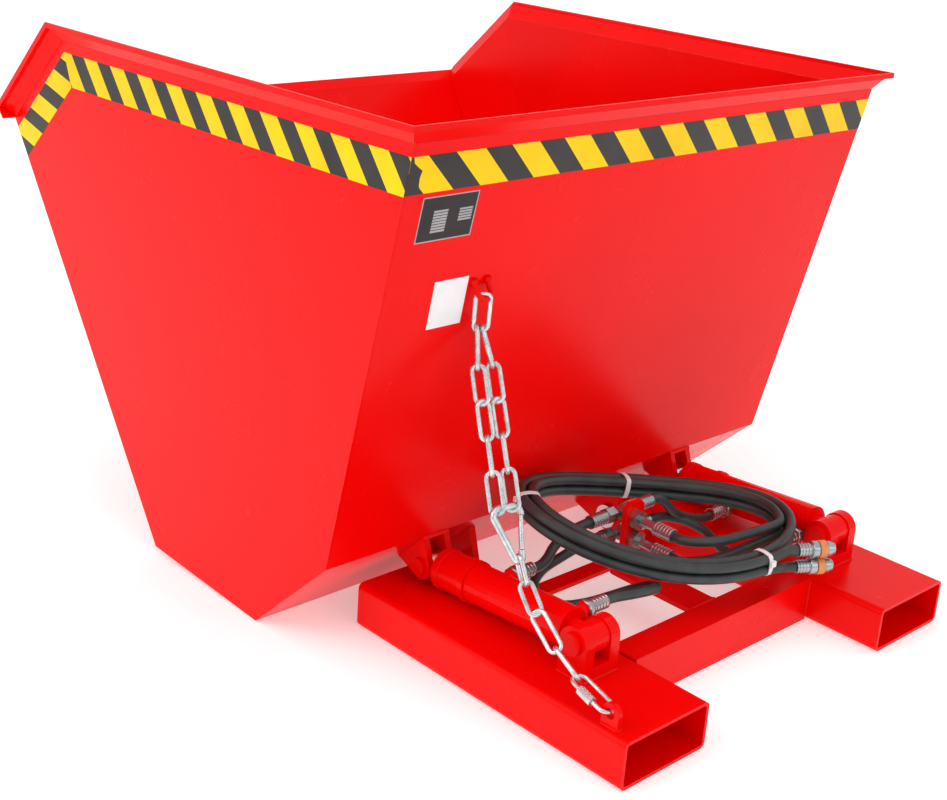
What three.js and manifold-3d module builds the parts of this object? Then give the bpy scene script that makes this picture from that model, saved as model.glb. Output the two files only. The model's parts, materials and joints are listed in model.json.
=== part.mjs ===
// A hydraulic tipping bucket for forklifts: two fork pockets carry a folded sheet bucket that is hinged
// low at the pockets' front ends and is pushed over by two double-acting cylinders.
// Millimetres. +X is the side of the safety chain, +Y the rear (where the forks enter), +Z up.
// The origin is on the ground, in the middle of the whole length and width.

import * as THREE from "three";
import { mergeVertices } from "three/addons/utils/BufferGeometryUtils.js";
import Module from "manifold-3d";

const wasm = await Module();
wasm.setup();

// Shared clearances and steps
const seatGap = 0.3;
const pinClearance = 0.5;
const cutOverrun = 4;
const roundSteps = 20;
const smallSteps = 12;

// Fork pockets
const pocketWidth = 164;
const pocketHeight = 70;
const pocketWall = 5;
const pocketRadius = 9;
const pocketInnerX = 200;
const pocketFrontY = -515;
const pocketRearY = 0;

// Beams between the pockets
const crossRearY = -126;
const crossDepth = 48;
const beamWidth = 56;
const beamWall = 4;
const frontCrossY = -390;
const frontCrossDepth = 50;

// Bucket sheet, seen from the side
const sheet = 3;
const bucketHalfWidth = 473;
const heelY = -457;
const heelZ = 148;
const toeY = -614;
const toeZ = 0;
const noseY = -880;
const noseZ = 12;
const rearLean = THREE.MathUtils.degToRad(12.5);
const frontLean = THREE.MathUtils.degToRad(34.2);
const wallTopZ = 757;
const apexY = -1132;
const frontTopZ = 612;

// Rim: each wall ends in a flare, a short level lip and an upright hem
const rimFlareOut = 14;
const rimFlareUp = 19;
const rimLipOut = 8;
const rimHem = 8;
const rimSheet = 3;
const frontLipHeight = 22;

// Tipping hinge
const hingeY = -500;
const hingeZ = 40;
const hingePinDiameter = 30;
const hingeEarThickness = 12;
const hingeEarRadius = 27;
const hingeEarX = 158;
const hingeBracketThickness = 14;
const hingeHeadDiameter = 40;
const hingeSideGap = 0.6;
const earReach = 55;

// Cylinders
const rodPinY = -460;
const rodPinRise = 30;
const rodPinZ = pocketHeight + rodPinRise;
const cylinderX = 273;
const clevisPinY = -150;
const clevisPinRise = 50;
const clevisPinZ = pocketHeight + clevisPinRise;
const barrelDiameter = 58;
const boreDiameter = 50;
const barrelEyeRadius = 22;
const barrelEyeWidth = 30;
const barrelStart = 30;
const barrelEnd = 215;
const rearCapThickness = 16;
const glandLength = 30;
const glandDiameter = 64;
const rodDiameter = 25;
const rodEyeRadius = 18;
const rodEyeWidth = 26;
const rodPinDiameter = 20;
const pistonThickness = 22;
const sealClearance = 0.4;
const clevisPinDiameter = 22;
const clevisEarThickness = 17.5;
const clevisEarRadius = 24;
const clevisSideGap = 0.5;
const pinHeadDiameter = 32;
const pinHeadThickness = 6;
const lugThickness = 10;
const lugRadius = 20;

// Ports of the cylinders
const rearPortStation = 40;
const frontPortStation = 178;
const portHeight = { left: 14, right: -12 };
const portBossDiameter = 20;
const hexFlats = 22;
const hexLength = 12;
const ferruleDiameter = 20;
const ferruleLength = 30;

// Manifold on the middle beam
const manifoldY = -320;
const manifoldThickness = 8;
const manifoldWidth = 40;
const manifoldRise = 108;
const manifoldTopZ = pocketHeight + manifoldRise;
const manifoldCorner = 8;
const lowerUnionRise = 47;
const upperUnionRise = 81;
const lowerUnionZ = pocketHeight + lowerUnionRise;
const upperUnionZ = pocketHeight + upperUnionRise;
const unionDiameter = 18;
const unionNutLength = 12;
const unionReach = 30;
const unionNeck = 14;
const unionFace = 5;
const bulkheadFlats = 28;
const teeOffset = 25;
const teeArm = 34;
const rearFerruleLength = 34;

// Hoses
const hoseDiameter = 15;
const hosePitch = 17;
const coilX = -20;
const coilY = -284;
const coilLong = 211;
const coilShort = 121.4;
const coilTurn = THREE.MathUtils.degToRad(-24);
const coilRise = 88.7;
const coilMeanZ = pocketHeight + coilRise;
const coilWaveX = 28.2;
const coilWaveY = -12;
const coilWaveSecond = 12.5;
const coilStart = 165;
const coilSweep = 680;
const coilStepsPerTurn = 24;
const couplerDiameter = 26;
const couplerFerruleEnd = 22;
const couplerHexEnd = 32;
const couplerSleeveEnd = 44;
const couplerLength = 58;
const fusedBy = 1;
const tieWidth = 5;
const tieThickness = 1.6;

// Chain
const wire = 5.5;
const linkWidth = 20;
const linkOverlap = 0.8;

const group = new THREE.Group();

const red = { color: 0xe00808, roughness: 0.32, metalness: 0.1 };
const steel = { color: 0xb9bec2, roughness: 0.3, metalness: 0.9 };
const zinc = { color: 0xc6cbcf, roughness: 0.35, metalness: 0.85 };
const rubber = { color: 0x39413f, roughness: 0.7, metalness: 0.0 };
const nylon = { color: 0xe9ebea, roughness: 0.5, metalness: 0.0 };
const fitting = { color: 0x9a9590, roughness: 0.35, metalness: 0.85 };

// Turns a closed geometry into a manifold solid.
function solid(geometry) {
  const bare = geometry.index ? geometry.toNonIndexed() : geometry.clone();
  bare.deleteAttribute("normal");
  bare.deleteAttribute("uv");
  const merged = mergeVertices(bare, 1e-3);
  const mesh = new wasm.Mesh({
    numProp: 3,
    vertProperties: new Float32Array(merged.attributes.position.array),
    triVerts: new Uint32Array(merged.index.array),
  });
  return new wasm.Manifold(mesh);
}

// Turns a manifold solid back into a three.js geometry.
function geometryOf(manifold) {
  const mesh = manifold.getMesh();
  const geometry = new THREE.BufferGeometry();
  geometry.setAttribute("position", new THREE.BufferAttribute(new Float32Array(mesh.vertProperties), 3));
  geometry.setIndex(new THREE.BufferAttribute(new Uint32Array(mesh.triVerts), 1));
  return geometry;
}

function union(...parts) {
  return parts.reduce((sum, part) => sum.add(part));
}

function addPart(name, shape, look) {
  const geometry = shape.isBufferGeometry ? shape : geometryOf(shape);
  if (!geometry.attributes.normal) {
    geometry.computeVertexNormals();
  }
  const mesh = new THREE.Mesh(geometry, new THREE.MeshStandardMaterial(look));
  mesh.name = name;
  group.add(mesh);
  return mesh;
}

// A flat outline in the side view, a list of [y, z], extruded across the width from x0 to x1.
function sidePlate(outline, x0, x1) {
  const shape = new THREE.Shape(outline.map(([y, z]) => new THREE.Vector2(y, z)));
  const geometry = new THREE.ExtrudeGeometry(shape, { depth: x1 - x0, bevelEnabled: false, curveSegments: smallSteps });
  const across = new THREE.Matrix4().makeBasis(
    new THREE.Vector3(0, 1, 0),
    new THREE.Vector3(0, 0, 1),
    new THREE.Vector3(1, 0, 0),
  );
  geometry.applyMatrix4(across);
  geometry.translate(x0, 0, 0);
  return geometry;
}

function box(x0, x1, y0, y1, z0, z1) {
  const geometry = new THREE.BoxGeometry(x1 - x0, y1 - y0, z1 - z0);
  geometry.translate((x0 + x1) / 2, (y0 + y1) / 2, (z0 + z1) / 2);
  return solid(geometry);
}

// A round bar, or with six steps a hexagon, from one point to another.
function bar(from, to, diameter, steps = roundSteps) {
  const start = new THREE.Vector3(...from);
  const end = new THREE.Vector3(...to);
  const along = end.clone().sub(start);
  const geometry = new THREE.CylinderGeometry(diameter / 2, diameter / 2, along.length(), steps);
  const turn = new THREE.Quaternion().setFromUnitVectors(new THREE.Vector3(0, 1, 0), along.clone().normalize());
  geometry.applyQuaternion(turn);
  const middle = start.add(end).multiplyScalar(1 / 2);
  geometry.translate(middle.x, middle.y, middle.z);
  return solid(geometry);
}

function hexBar(from, to, acrossFlats) {
  return bar(from, to, acrossFlats / Math.cos(Math.PI / 6), 6);
}

// A tube through the given points, one ring of vertices to a point. A closed tube joins its last ring
// to its first, and an open one has flat ends.
function tube(points, radius, sides, closed) {
  const count = points.length;
  const tangents = points.map((point, i) => {
    const before = closed ? points[(i + count - 1) % count] : points[Math.max(i - 1, 0)];
    const after = closed ? points[(i + 1) % count] : points[Math.min(i + 1, count - 1)];
    return after.clone().sub(before).normalize();
  });
  const seed = Math.abs(tangents[0].z) < Math.SQRT1_2 ? new THREE.Vector3(0, 0, 1) : new THREE.Vector3(1, 0, 0);
  let normal = seed.sub(tangents[0].clone().multiplyScalar(seed.dot(tangents[0]))).normalize();
  const positions = [];
  points.forEach((point, i) => {
    normal = normal.clone().sub(tangents[i].clone().multiplyScalar(normal.dot(tangents[i]))).normalize();
    const side = tangents[i].clone().cross(normal);
    for (let k = 0; k < sides; k += 1) {
      const angle = (2 * Math.PI * k) / sides;
      const vertex = point.clone();
      vertex.addScaledVector(normal, radius * Math.cos(angle));
      vertex.addScaledVector(side, radius * Math.sin(angle));
      positions.push(vertex.x, vertex.y, vertex.z);
    }
  });
  const faces = [];
  const rings = closed ? count : count - 1;
  for (let i = 0; i < rings; i += 1) {
    const next = (i + 1) % count;
    for (let k = 0; k < sides; k += 1) {
      const a = i * sides + k;
      const b = i * sides + ((k + 1) % sides);
      const c = next * sides + k;
      const d = next * sides + ((k + 1) % sides);
      faces.push(a, b, d, a, d, c);
    }
  }
  if (!closed) {
    const last = (count - 1) * sides;
    for (let k = 1; k < sides - 1; k += 1) {
      faces.push(0, k + 1, k);
      faces.push(last, last + k, last + k + 1);
    }
  }
  const geometry = new THREE.BufferGeometry();
  geometry.setAttribute("position", new THREE.Float32BufferAttribute(positions, 3));
  geometry.setIndex(faces);
  return geometry;
}

// A smooth hose through hand-picked points.
function hose(points, steps) {
  const path = new THREE.CatmullRomCurve3(points.map((p) => new THREE.Vector3(...p)), false, "centripetal");
  const section = new THREE.Shape();
  const sides = 8;
  for (let k = 0; k < sides; k += 1) {
    const angle = (2 * Math.PI * k) / sides;
    const x = (hoseDiameter / 2) * Math.cos(angle);
    const y = (hoseDiameter / 2) * Math.sin(angle);
    if (k === 0) {
      section.moveTo(x, y);
    } else {
      section.lineTo(x, y);
    }
  }
  section.closePath();
  return new THREE.ExtrudeGeometry(section, { steps, extrudePath: path, bevelEnabled: false });
}

// Fork pockets

function roundedRectangle(width, height, radius) {
  const shape = new THREE.Shape();
  const x = width / 2;
  const y = height / 2;
  shape.moveTo(-x + radius, -y);
  shape.lineTo(x - radius, -y);
  shape.absarc(x - radius, -y + radius, radius, -Math.PI / 2, 0);
  shape.lineTo(x, y - radius);
  shape.absarc(x - radius, y - radius, radius, 0, Math.PI / 2);
  shape.lineTo(-x + radius, y);
  shape.absarc(-x + radius, y - radius, radius, Math.PI / 2, Math.PI);
  shape.lineTo(-x, -y + radius);
  shape.absarc(-x + radius, -y + radius, radius, Math.PI, 1.5 * Math.PI);
  return shape;
}

function forkPocket(side) {
  const outer = roundedRectangle(pocketWidth, pocketHeight, pocketRadius);
  const inner = roundedRectangle(
    pocketWidth - 2 * pocketWall,
    pocketHeight - 2 * pocketWall,
    pocketRadius - pocketWall,
  );
  outer.holes.push(new THREE.Path(inner.getPoints(4)));
  const geometry = new THREE.ExtrudeGeometry(outer, {
    depth: pocketRearY - pocketFrontY,
    bevelEnabled: false,
    curveSegments: 4,
  });
  geometry.rotateX(Math.PI / 2);
  geometry.translate(side * (pocketInnerX + pocketWidth / 2), pocketRearY, pocketHeight / 2);
  return geometry;
}

addPart("fork_pocket_left", forkPocket(1), red);
addPart("fork_pocket_right", forkPocket(-1), red);

// Cross members are box tubes welded between the pockets; the middle beam joins them.
function boxTubeAcross(y0, y1) {
  const half = pocketInnerX - seatGap;
  const outer = box(-half, half, y0, y1, 0, pocketHeight);
  const inner = box(
    -half - cutOverrun,
    half + cutOverrun,
    y0 + beamWall,
    y1 - beamWall,
    beamWall,
    pocketHeight - beamWall,
  );
  return outer.subtract(inner);
}

const rearCrossFrontY = crossRearY - crossDepth;
const frontCrossRearY = frontCrossY;
addPart("rear_cross_member", boxTubeAcross(rearCrossFrontY, crossRearY), red);
addPart("front_cross_member", boxTubeAcross(frontCrossY - frontCrossDepth, frontCrossRearY), red);

const beamOuter = box(
  -beamWidth / 2,
  beamWidth / 2,
  frontCrossRearY + seatGap,
  rearCrossFrontY - seatGap,
  0,
  pocketHeight,
);
const beamInner = box(
  -beamWidth / 2 + beamWall,
  beamWidth / 2 - beamWall,
  frontCrossRearY - cutOverrun,
  rearCrossFrontY + cutOverrun,
  beamWall,
  pocketHeight - beamWall,
);
addPart("middle_beam", beamOuter.subtract(beamInner), red);

// Bucket outline on the walls' outer faces
const rearTopY = heelY + (wallTopZ - heelZ) * Math.tan(rearLean);
const rearTop = [rearTopY, wallTopZ];
const apex = [apexY, wallTopZ];
const frontTop = [noseY - (frontTopZ - noseZ) * Math.tan(frontLean), frontTopZ];
const nose = [noseY, noseZ];
const toe = [toeY, toeZ];
const heel = [heelY, heelZ];
const wallOutline = [rearTop, apex, frontTop, nose, toe, heel];

// The same outline drawn in by a distance, so that plates of one thickness meet at their corners.
function inset(outline, distance) {
  return outline.map((point, i) => {
    const before = outline[(i + outline.length - 1) % outline.length];
    const after = outline[(i + 1) % outline.length];
    const inward = (from, to) => {
      const dy = to[0] - from[0];
      const dz = to[1] - from[1];
      const length = Math.hypot(dy, dz);
      return [-dz / length, dy / length];
    };
    const n1 = inward(before, point);
    const n2 = inward(point, after);
    const scale = distance / (1 + n1[0] * n2[0] + n1[1] * n2[1]);
    return [point[0] + (n1[0] + n2[0]) * scale, point[1] + (n1[1] + n2[1]) * scale];
  });
}

// Where the line through a and b meets the line through c and d.
function crossing(a, b, c, d) {
  const ab = [b[0] - a[0], b[1] - a[1]];
  const cd = [d[0] - c[0], d[1] - c[1]];
  const t = ((c[0] - a[0]) * cd[1] - (c[1] - a[1]) * cd[0]) / (ab[0] * cd[1] - ab[1] * cd[0]);
  return [a[0] + ab[0] * t, a[1] + ab[1] * t];
}

const innerOutline = inset(wallOutline, sheet);
const [innerRear, , innerFront, innerNose, innerToe, innerHeel] = innerOutline;
const innerRearTop = crossing(innerHeel, innerRear, rearTop, apex);
const innerFrontTop = crossing(innerNose, innerFront, apex, frontTop);
const sheetHalf = bucketHalfWidth - sheet - seatGap;
const slopeAngle = Math.atan2(wallTopZ - frontTopZ, apexY - frontTop[0]);

// A sheet between two corners of the outline, its ends cut on the bend lines and held off by the gap.
function foldedSheet(outerA, outerB, innerA, innerB) {
  const along = new THREE.Vector2(outerB[0] - outerA[0], outerB[1] - outerA[1]).normalize();
  const shift = (point, way) => [
    point[0] + along.x * way * (seatGap / 2),
    point[1] + along.y * way * (seatGap / 2),
  ];
  const outline = [shift(outerA, 1), shift(outerB, -1), shift(innerB, -1), shift(innerA, 1)];
  return sidePlate(outline, -sheetHalf, sheetHalf);
}

addPart("rear_wall", foldedSheet(heel, rearTop, innerHeel, innerRearTop), red);
addPart("rear_slope_sheet", foldedSheet(toe, heel, innerToe, innerHeel), red);
addPart("floor_sheet", foldedSheet(nose, toe, innerNose, innerToe), red);
addPart("front_wall", foldedSheet(frontTop, nose, innerFrontTop, innerNose), red);

for (const [name, side] of [["left", 1], ["right", -1]]) {
  const x0 = side > 0 ? bucketHalfWidth - sheet : -bucketHalfWidth;
  addPart(`side_wall_${name}`, sidePlate(wallOutline, x0, x0 + sheet), red);
}

// The rim's section, outward and up from the wall's outer top edge.
const rimOut = rimFlareOut + rimLipOut;
const rimUp = rimFlareUp + rimHem;
const rimSection = [
  [0, seatGap],
  [rimFlareOut, rimFlareUp],
  [rimOut, rimFlareUp],
  [rimOut, rimUp],
  [rimOut - rimSheet, rimUp],
  [rimOut - rimSheet, rimFlareUp + rimSheet],
  [rimFlareOut - rimSheet / 2, rimFlareUp + rimSheet],
  [-sheet, seatGap],
];

// Sweeps a section along a run of corners. Each corner gives its place, and how the section's outward
// and upward axes lie there, so that neighbouring runs meet in a mitre.
function swept(section, corners) {
  const rings = corners.map(({ origin, out, up }) =>
    section.map(([o, u]) => origin.clone().addScaledVector(out, o).addScaledVector(up, u)),
  );
  const size = section.length;
  const positions = rings.flat().flatMap((p) => [p.x, p.y, p.z]);
  const faces = [];
  for (let i = 0; i + 1 < rings.length; i += 1) {
    for (let k = 0; k < size; k += 1) {
      const a = i * size + k;
      const b = i * size + ((k + 1) % size);
      faces.push(a, b, b + size, a, b + size, a + size);
    }
  }
  const flat = section.map(([o, u]) => new THREE.Vector2(o, u));
  const last = (rings.length - 1) * size;
  for (const [a, b, c] of THREE.ShapeUtils.triangulateShape(flat, [])) {
    faces.push(a, c, b);
    faces.push(last + a, last + b, last + c);
  }
  const geometry = new THREE.BufferGeometry();
  geometry.setAttribute("position", new THREE.Float32BufferAttribute(positions, 3));
  geometry.setIndex(faces);
  const manifold = solid(geometry);
  if (manifold.volume() < 0) {
    throw new Error("the swept section faces inward");
  }
  return manifold;
}

// Rim of one side: along the level top, then down the slope to the front.
function sideRim(side) {
  const x = side * bucketHalfWidth;
  const out = new THREE.Vector3(side, 0, 0);
  const level = new THREE.Vector3(0, 0, 1);
  const slopeUp = new THREE.Vector3(0, -Math.sin(slopeAngle), Math.cos(slopeAngle));
  const slopeBack = new THREE.Vector3(0, Math.cos(slopeAngle), Math.sin(slopeAngle));
  const mitre = level.clone().add(slopeUp);
  mitre.multiplyScalar(2 / mitre.lengthSq());
  const rearCorner = new THREE.Vector3(x, rearTop[0] - seatGap, wallTopZ);
  const frontCorner = new THREE.Vector3(x, frontTop[0], frontTop[1]).addScaledVector(slopeBack, sheet + 2 * seatGap);
  const corners = [
    { origin: rearCorner, out: new THREE.Vector3(side, 1, 0), up: level },
    { origin: new THREE.Vector3(x, apex[0], wallTopZ), out, up: mitre },
    { origin: frontCorner, out, up: slopeUp },
  ];
  return swept(rimSection, side > 0 ? corners : corners.reverse());
}

function rearRimEnd(side) {
  return {
    origin: new THREE.Vector3(side * (bucketHalfWidth - seatGap), rearTop[0], wallTopZ),
    out: new THREE.Vector3(side, 1, 0),
    up: new THREE.Vector3(0, 0, 1),
  };
}

// The front lip stands on the front wall, square to the slope of the sides, and closes their rims.
function frontLip() {
  const up = [-Math.sin(slopeAngle), Math.cos(slopeAngle)];
  const back = [Math.cos(slopeAngle), Math.sin(slopeAngle)];
  const at = (u, b) => [frontTop[0] + up[0] * u + back[0] * b, frontTop[1] + up[1] * u + back[1] * b];
  const outline = [at(seatGap, 0), at(frontLipHeight, 0), at(frontLipHeight, sheet), at(seatGap, sheet)];
  const half = bucketHalfWidth + rimOut;
  return sidePlate(outline.reverse(), -half, half);
}

addPart("rim_rear", swept(rimSection, [rearRimEnd(-1), rearRimEnd(1)]), red);
addPart("rim_left", sideRim(1), red);
addPart("rim_right", sideRim(-1), red);
addPart("rim_front", frontLip(), red);

// Outline of the convex hull round a list of [y, z] points, counter-clockwise.
function hullOf(points) {
  const sorted = [...points].sort((a, b) => a[0] - b[0] || a[1] - b[1]);
  const turn = (o, a, b) => (a[0] - o[0]) * (b[1] - o[1]) - (a[1] - o[1]) * (b[0] - o[0]);
  const half = (list) => {
    const chain = [];
    for (const point of list) {
      while (chain.length > 1 && turn(chain[chain.length - 2], chain[chain.length - 1], point) <= 0) {
        chain.pop();
      }
      chain.push(point);
    }
    chain.pop();
    return chain;
  };
  return [...half(sorted), ...half(sorted.reverse())];
}

function circlePoints(y, z, radius, steps = 24) {
  return Array.from({ length: steps }, (_, k) => {
    const angle = (2 * Math.PI * k) / steps;
    return [y + radius * Math.cos(angle), z + radius * Math.sin(angle)];
  });
}

function crossBar(x0, x1, y, z, diameter) {
  return bar([x0, y, z], [x1, y, z], diameter);
}

// Places along the outside of the rear slope sheet, measured down from its upper corner.
const slopeSheetLength = Math.hypot(toeY - heelY, toeZ - heelZ);
const slopeSheetWay = [(toeY - heelY) / slopeSheetLength, (toeZ - heelZ) / slopeSheetLength];
const slopeSheetOut = [-slopeSheetWay[1], slopeSheetWay[0]];

function onSlopeSheet(distance) {
  return [
    heelY + slopeSheetWay[0] * distance + slopeSheetOut[0] * seatGap,
    heelZ + slopeSheetWay[1] * distance + slopeSheetOut[1] * seatGap,
  ];
}

function slopeSheetStation(y, z) {
  return (y - heelY) * slopeSheetWay[0] + (z - heelZ) * slopeSheetWay[1];
}

// Tipping hinge: an ear under the bucket turns on a pin held in a bracket on the pocket's inner side.
const bracketOuterX = pocketInnerX - seatGap;
const bracketInnerX = bracketOuterX - hingeBracketThickness;
const bracketRearY = frontCrossY - frontCrossDepth - seatGap;
const hingeHoleDiameter = hingePinDiameter + 2 * pinClearance;
const earFoot = slopeSheetStation(hingeY, hingeZ);

for (const [name, side] of [["left", 1], ["right", -1]]) {
  const span = (a, b) => [Math.min(side * a, side * b), Math.max(side * a, side * b)];
  const earOutline = hullOf([
    ...circlePoints(hingeY, hingeZ, hingeEarRadius),
    onSlopeSheet(earFoot - earReach),
    onSlopeSheet(earFoot + earReach),
  ]);
  const ear = solid(sidePlate(earOutline, ...span(hingeEarX, hingeEarX + hingeEarThickness)));
  const boss = crossBar(
    side * (hingeEarX + hingeEarThickness / 2),
    side * (bracketInnerX - hingeSideGap),
    hingeY,
    hingeZ,
    2 * hingeEarRadius,
  );
  const hole = crossBar(side * (hingeEarX - cutOverrun), side * pocketInnerX, hingeY, hingeZ, hingeHoleDiameter);
  addPart(`hinge_ear_${name}`, ear.add(boss).subtract(hole), red);

  const bracketOutline = hullOf([
    ...circlePoints(hingeY, hingeZ, hingeEarRadius),
    [bracketRearY, seatGap],
    [bracketRearY, pocketHeight - pocketRadius],
  ]);
  const bracket = solid(sidePlate(bracketOutline, ...span(bracketInnerX, bracketOuterX)));
  const bracketHole = crossBar(
    side * (bracketInnerX - cutOverrun),
    side * (bracketOuterX + cutOverrun),
    hingeY,
    hingeZ,
    hingeHoleDiameter,
  );
  addPart(`hinge_bracket_${name}`, bracket.subtract(bracketHole), red);

  const pin = crossBar(
    side * (hingeEarX - pinHeadThickness),
    side * (bracketOuterX - seatGap),
    hingeY,
    hingeZ,
    hingePinDiameter,
  );
  const head = crossBar(
    side * (hingeEarX - hingeSideGap - pinHeadThickness),
    side * (hingeEarX - hingeSideGap),
    hingeY,
    hingeZ,
    hingeHeadDiameter,
  );
  addPart(`hinge_pin_${name}`, pin.add(head), steel);
}

// Cylinders lie over the pockets. Station is the distance from the rear pin along the cylinder's axis.
const cylinderRun = Math.hypot(rodPinY - clevisPinY, rodPinZ - clevisPinZ);
const cylinderWay = [(rodPinY - clevisPinY) / cylinderRun, (rodPinZ - clevisPinZ) / cylinderRun];
const cylinderUp = [cylinderWay[1], -cylinderWay[0]];

function onCylinder(x, station, height = 0) {
  return [
    x,
    clevisPinY + cylinderWay[0] * station + cylinderUp[0] * height,
    clevisPinZ + cylinderWay[1] * station + cylinderUp[1] * height,
  ];
}

const clevisHalf = barrelEyeWidth / 2 + clevisSideGap;
const clevisOuter = clevisHalf + clevisEarThickness;
const eyeHoleDiameter = clevisPinDiameter + 2 * pinClearance;
const clevisFrontY = clevisPinY - clevisEarRadius;
const clevisRearY = clevisPinY + clevisEarRadius;
const clevisFloor = pocketHeight + seatGap;
const slotFloor = clevisPinZ - barrelEyeRadius - clevisEarThickness / 2;
const boreStart = barrelStart + rearCapThickness;
const glandStart = barrelEnd - glandLength;
const glandFlange = 10;
const pistonStart = boreStart + glandFlange;
const rodEyeHalf = rodEyeWidth / 2;
const lugInner = rodEyeHalf + 2 * clevisSideGap;
const lugReach = 36;
const eyeNeckDiameter = 34;
const rodNeckStart = cylinderRun - rodEyeRadius;

for (const [name, side] of [["left", 1], ["right", -1]]) {
  const x = side * cylinderX;
  const clevisOutline = hullOf([
    ...circlePoints(clevisPinY, clevisPinZ, clevisEarRadius),
    [clevisFrontY, clevisFloor],
    [clevisRearY, clevisFloor],
  ]);
  const clevisBlock = solid(sidePlate(clevisOutline, x - clevisOuter, x + clevisOuter));
  const slot = box(
    x - clevisHalf,
    x + clevisHalf,
    clevisFrontY - cutOverrun,
    clevisRearY + cutOverrun,
    slotFloor,
    clevisPinZ + clevisEarRadius + cutOverrun,
  );
  const clevisHole = crossBar(
    x - clevisOuter - cutOverrun,
    x + clevisOuter + cutOverrun,
    clevisPinY,
    clevisPinZ,
    eyeHoleDiameter,
  );
  addPart(`cylinder_clevis_${name}`, clevisBlock.subtract(slot).subtract(clevisHole), red);

  const pinHalf = clevisOuter + seatGap;
  const pinParts = [-1, 1].map((end) =>
    crossBar(x + end * pinHalf, x + end * (pinHalf + pinHeadThickness), clevisPinY, clevisPinZ, pinHeadDiameter),
  );
  const pinBody = crossBar(
    x - pinHalf - pinHeadThickness / 2,
    x + pinHalf + pinHeadThickness / 2,
    clevisPinY,
    clevisPinZ,
    clevisPinDiameter,
  );
  addPart(`clevis_pin_${name}`, union(pinBody, ...pinParts), red);

  // Barrel with its rear eye, its end cap and two ports that face the middle of the bucket
  const tubeBody = bar(onCylinder(x, barrelStart), onCylinder(x, barrelEnd), barrelDiameter, 24);
  const bore = bar(onCylinder(x, boreStart), onCylinder(x, barrelEnd + cutOverrun), boreDiameter, 24);
  const eye = crossBar(x - barrelEyeWidth / 2, x + barrelEyeWidth / 2, clevisPinY, clevisPinZ, 2 * barrelEyeRadius);
  const neck = bar(onCylinder(x, barrelEyeRadius / 2), onCylinder(x, boreStart - glandFlange), barrelEyeWidth);
  const eyeHole = crossBar(
    x - barrelEyeWidth / 2 - cutOverrun,
    x + barrelEyeWidth / 2 + cutOverrun,
    clevisPinY,
    clevisPinZ,
    eyeHoleDiameter,
  );
  const ports = [rearPortStation, frontPortStation].map((station) => {
    const inward = -side;
    const skin = barrelDiameter / 2;
    const from = onCylinder(x, station, portHeight[name]);
    const away = (distance) => [from[0] + inward * distance, from[1], from[2]];
    return union(
      bar(away(skin / 2), away(skin), portBossDiameter, smallSteps),
      hexBar(away(skin - 1), away(skin + hexLength), hexFlats),
      bar(away(skin + hexLength - 1), away(skin + hexLength + ferruleLength), ferruleDiameter, smallSteps),
    );
  });
  const barrel = union(tubeBody, ...ports).subtract(bore).add(eye).add(neck).subtract(eyeHole);
  addPart(`cylinder_barrel_${name}`, barrel, red);

  const glandRing = bar(onCylinder(x, glandStart), onCylinder(x, barrelEnd + glandFlange), boreDiameter - 2 * seatGap, 24);
  const glandHead = bar(
    onCylinder(x, barrelEnd + seatGap),
    onCylinder(x, barrelEnd + glandFlange),
    glandDiameter,
    24,
  );
  const glandHole = bar(
    onCylinder(x, glandStart - cutOverrun),
    onCylinder(x, barrelEnd + glandFlange + cutOverrun),
    rodDiameter + 2 * sealClearance,
  );
  addPart(`cylinder_gland_${name}`, glandRing.add(glandHead).subtract(glandHole), red);

  const rod = union(
    bar(onCylinder(x, pistonStart), onCylinder(x, pistonStart + pistonThickness), boreDiameter - 2 * sealClearance, 24),
    bar(onCylinder(x, pistonStart), onCylinder(x, rodNeckStart + rodEyeRadius / 2), rodDiameter),
    crossBar(x - rodEyeHalf, x + rodEyeHalf, rodPinY, rodPinZ, 2 * rodEyeRadius),
  );
  addPart(`cylinder_rod_${name}`, rod, steel);

  // Lug under the bucket: two cheeks on a foot plate, with the stub pins' heads outside
  const station = slopeSheetStation(rodPinY, rodPinZ);
  const cheekOutline = hullOf([
    ...circlePoints(rodPinY, rodPinZ, lugRadius),
    onSlopeSheet(station - lugReach),
    onSlopeSheet(station + lugReach),
  ]);
  const footStart = onSlopeSheet(station - lugReach);
  const footEnd = onSlopeSheet(station + lugReach);
  const footDepth = lugThickness / 2;
  const footOutline = [
    footStart,
    [footStart[0] + slopeSheetOut[0] * footDepth, footStart[1] + slopeSheetOut[1] * footDepth],
    [footEnd[0] + slopeSheetOut[0] * footDepth, footEnd[1] + slopeSheetOut[1] * footDepth],
    footEnd,
  ];
  const cheeks = [-1, 1].map((end) => {
    const inner = x + end * lugInner;
    const outer = x + end * (lugInner + lugThickness);
    const cheek = solid(sidePlate(cheekOutline, Math.min(inner, outer), Math.max(inner, outer)));
    const cap = crossBar(outer - end, outer + end * pinHeadThickness, rodPinY, rodPinZ, rodPinDiameter + pinHeadThickness);
    return cheek.add(cap);
  });
  const lugOuter = lugInner + lugThickness;
  const foot = solid(sidePlate(hullOf(footOutline), x - lugOuter, x + lugOuter));
  addPart(`cylinder_lug_${name}`, union(foot, ...cheeks), red);
}

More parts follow.
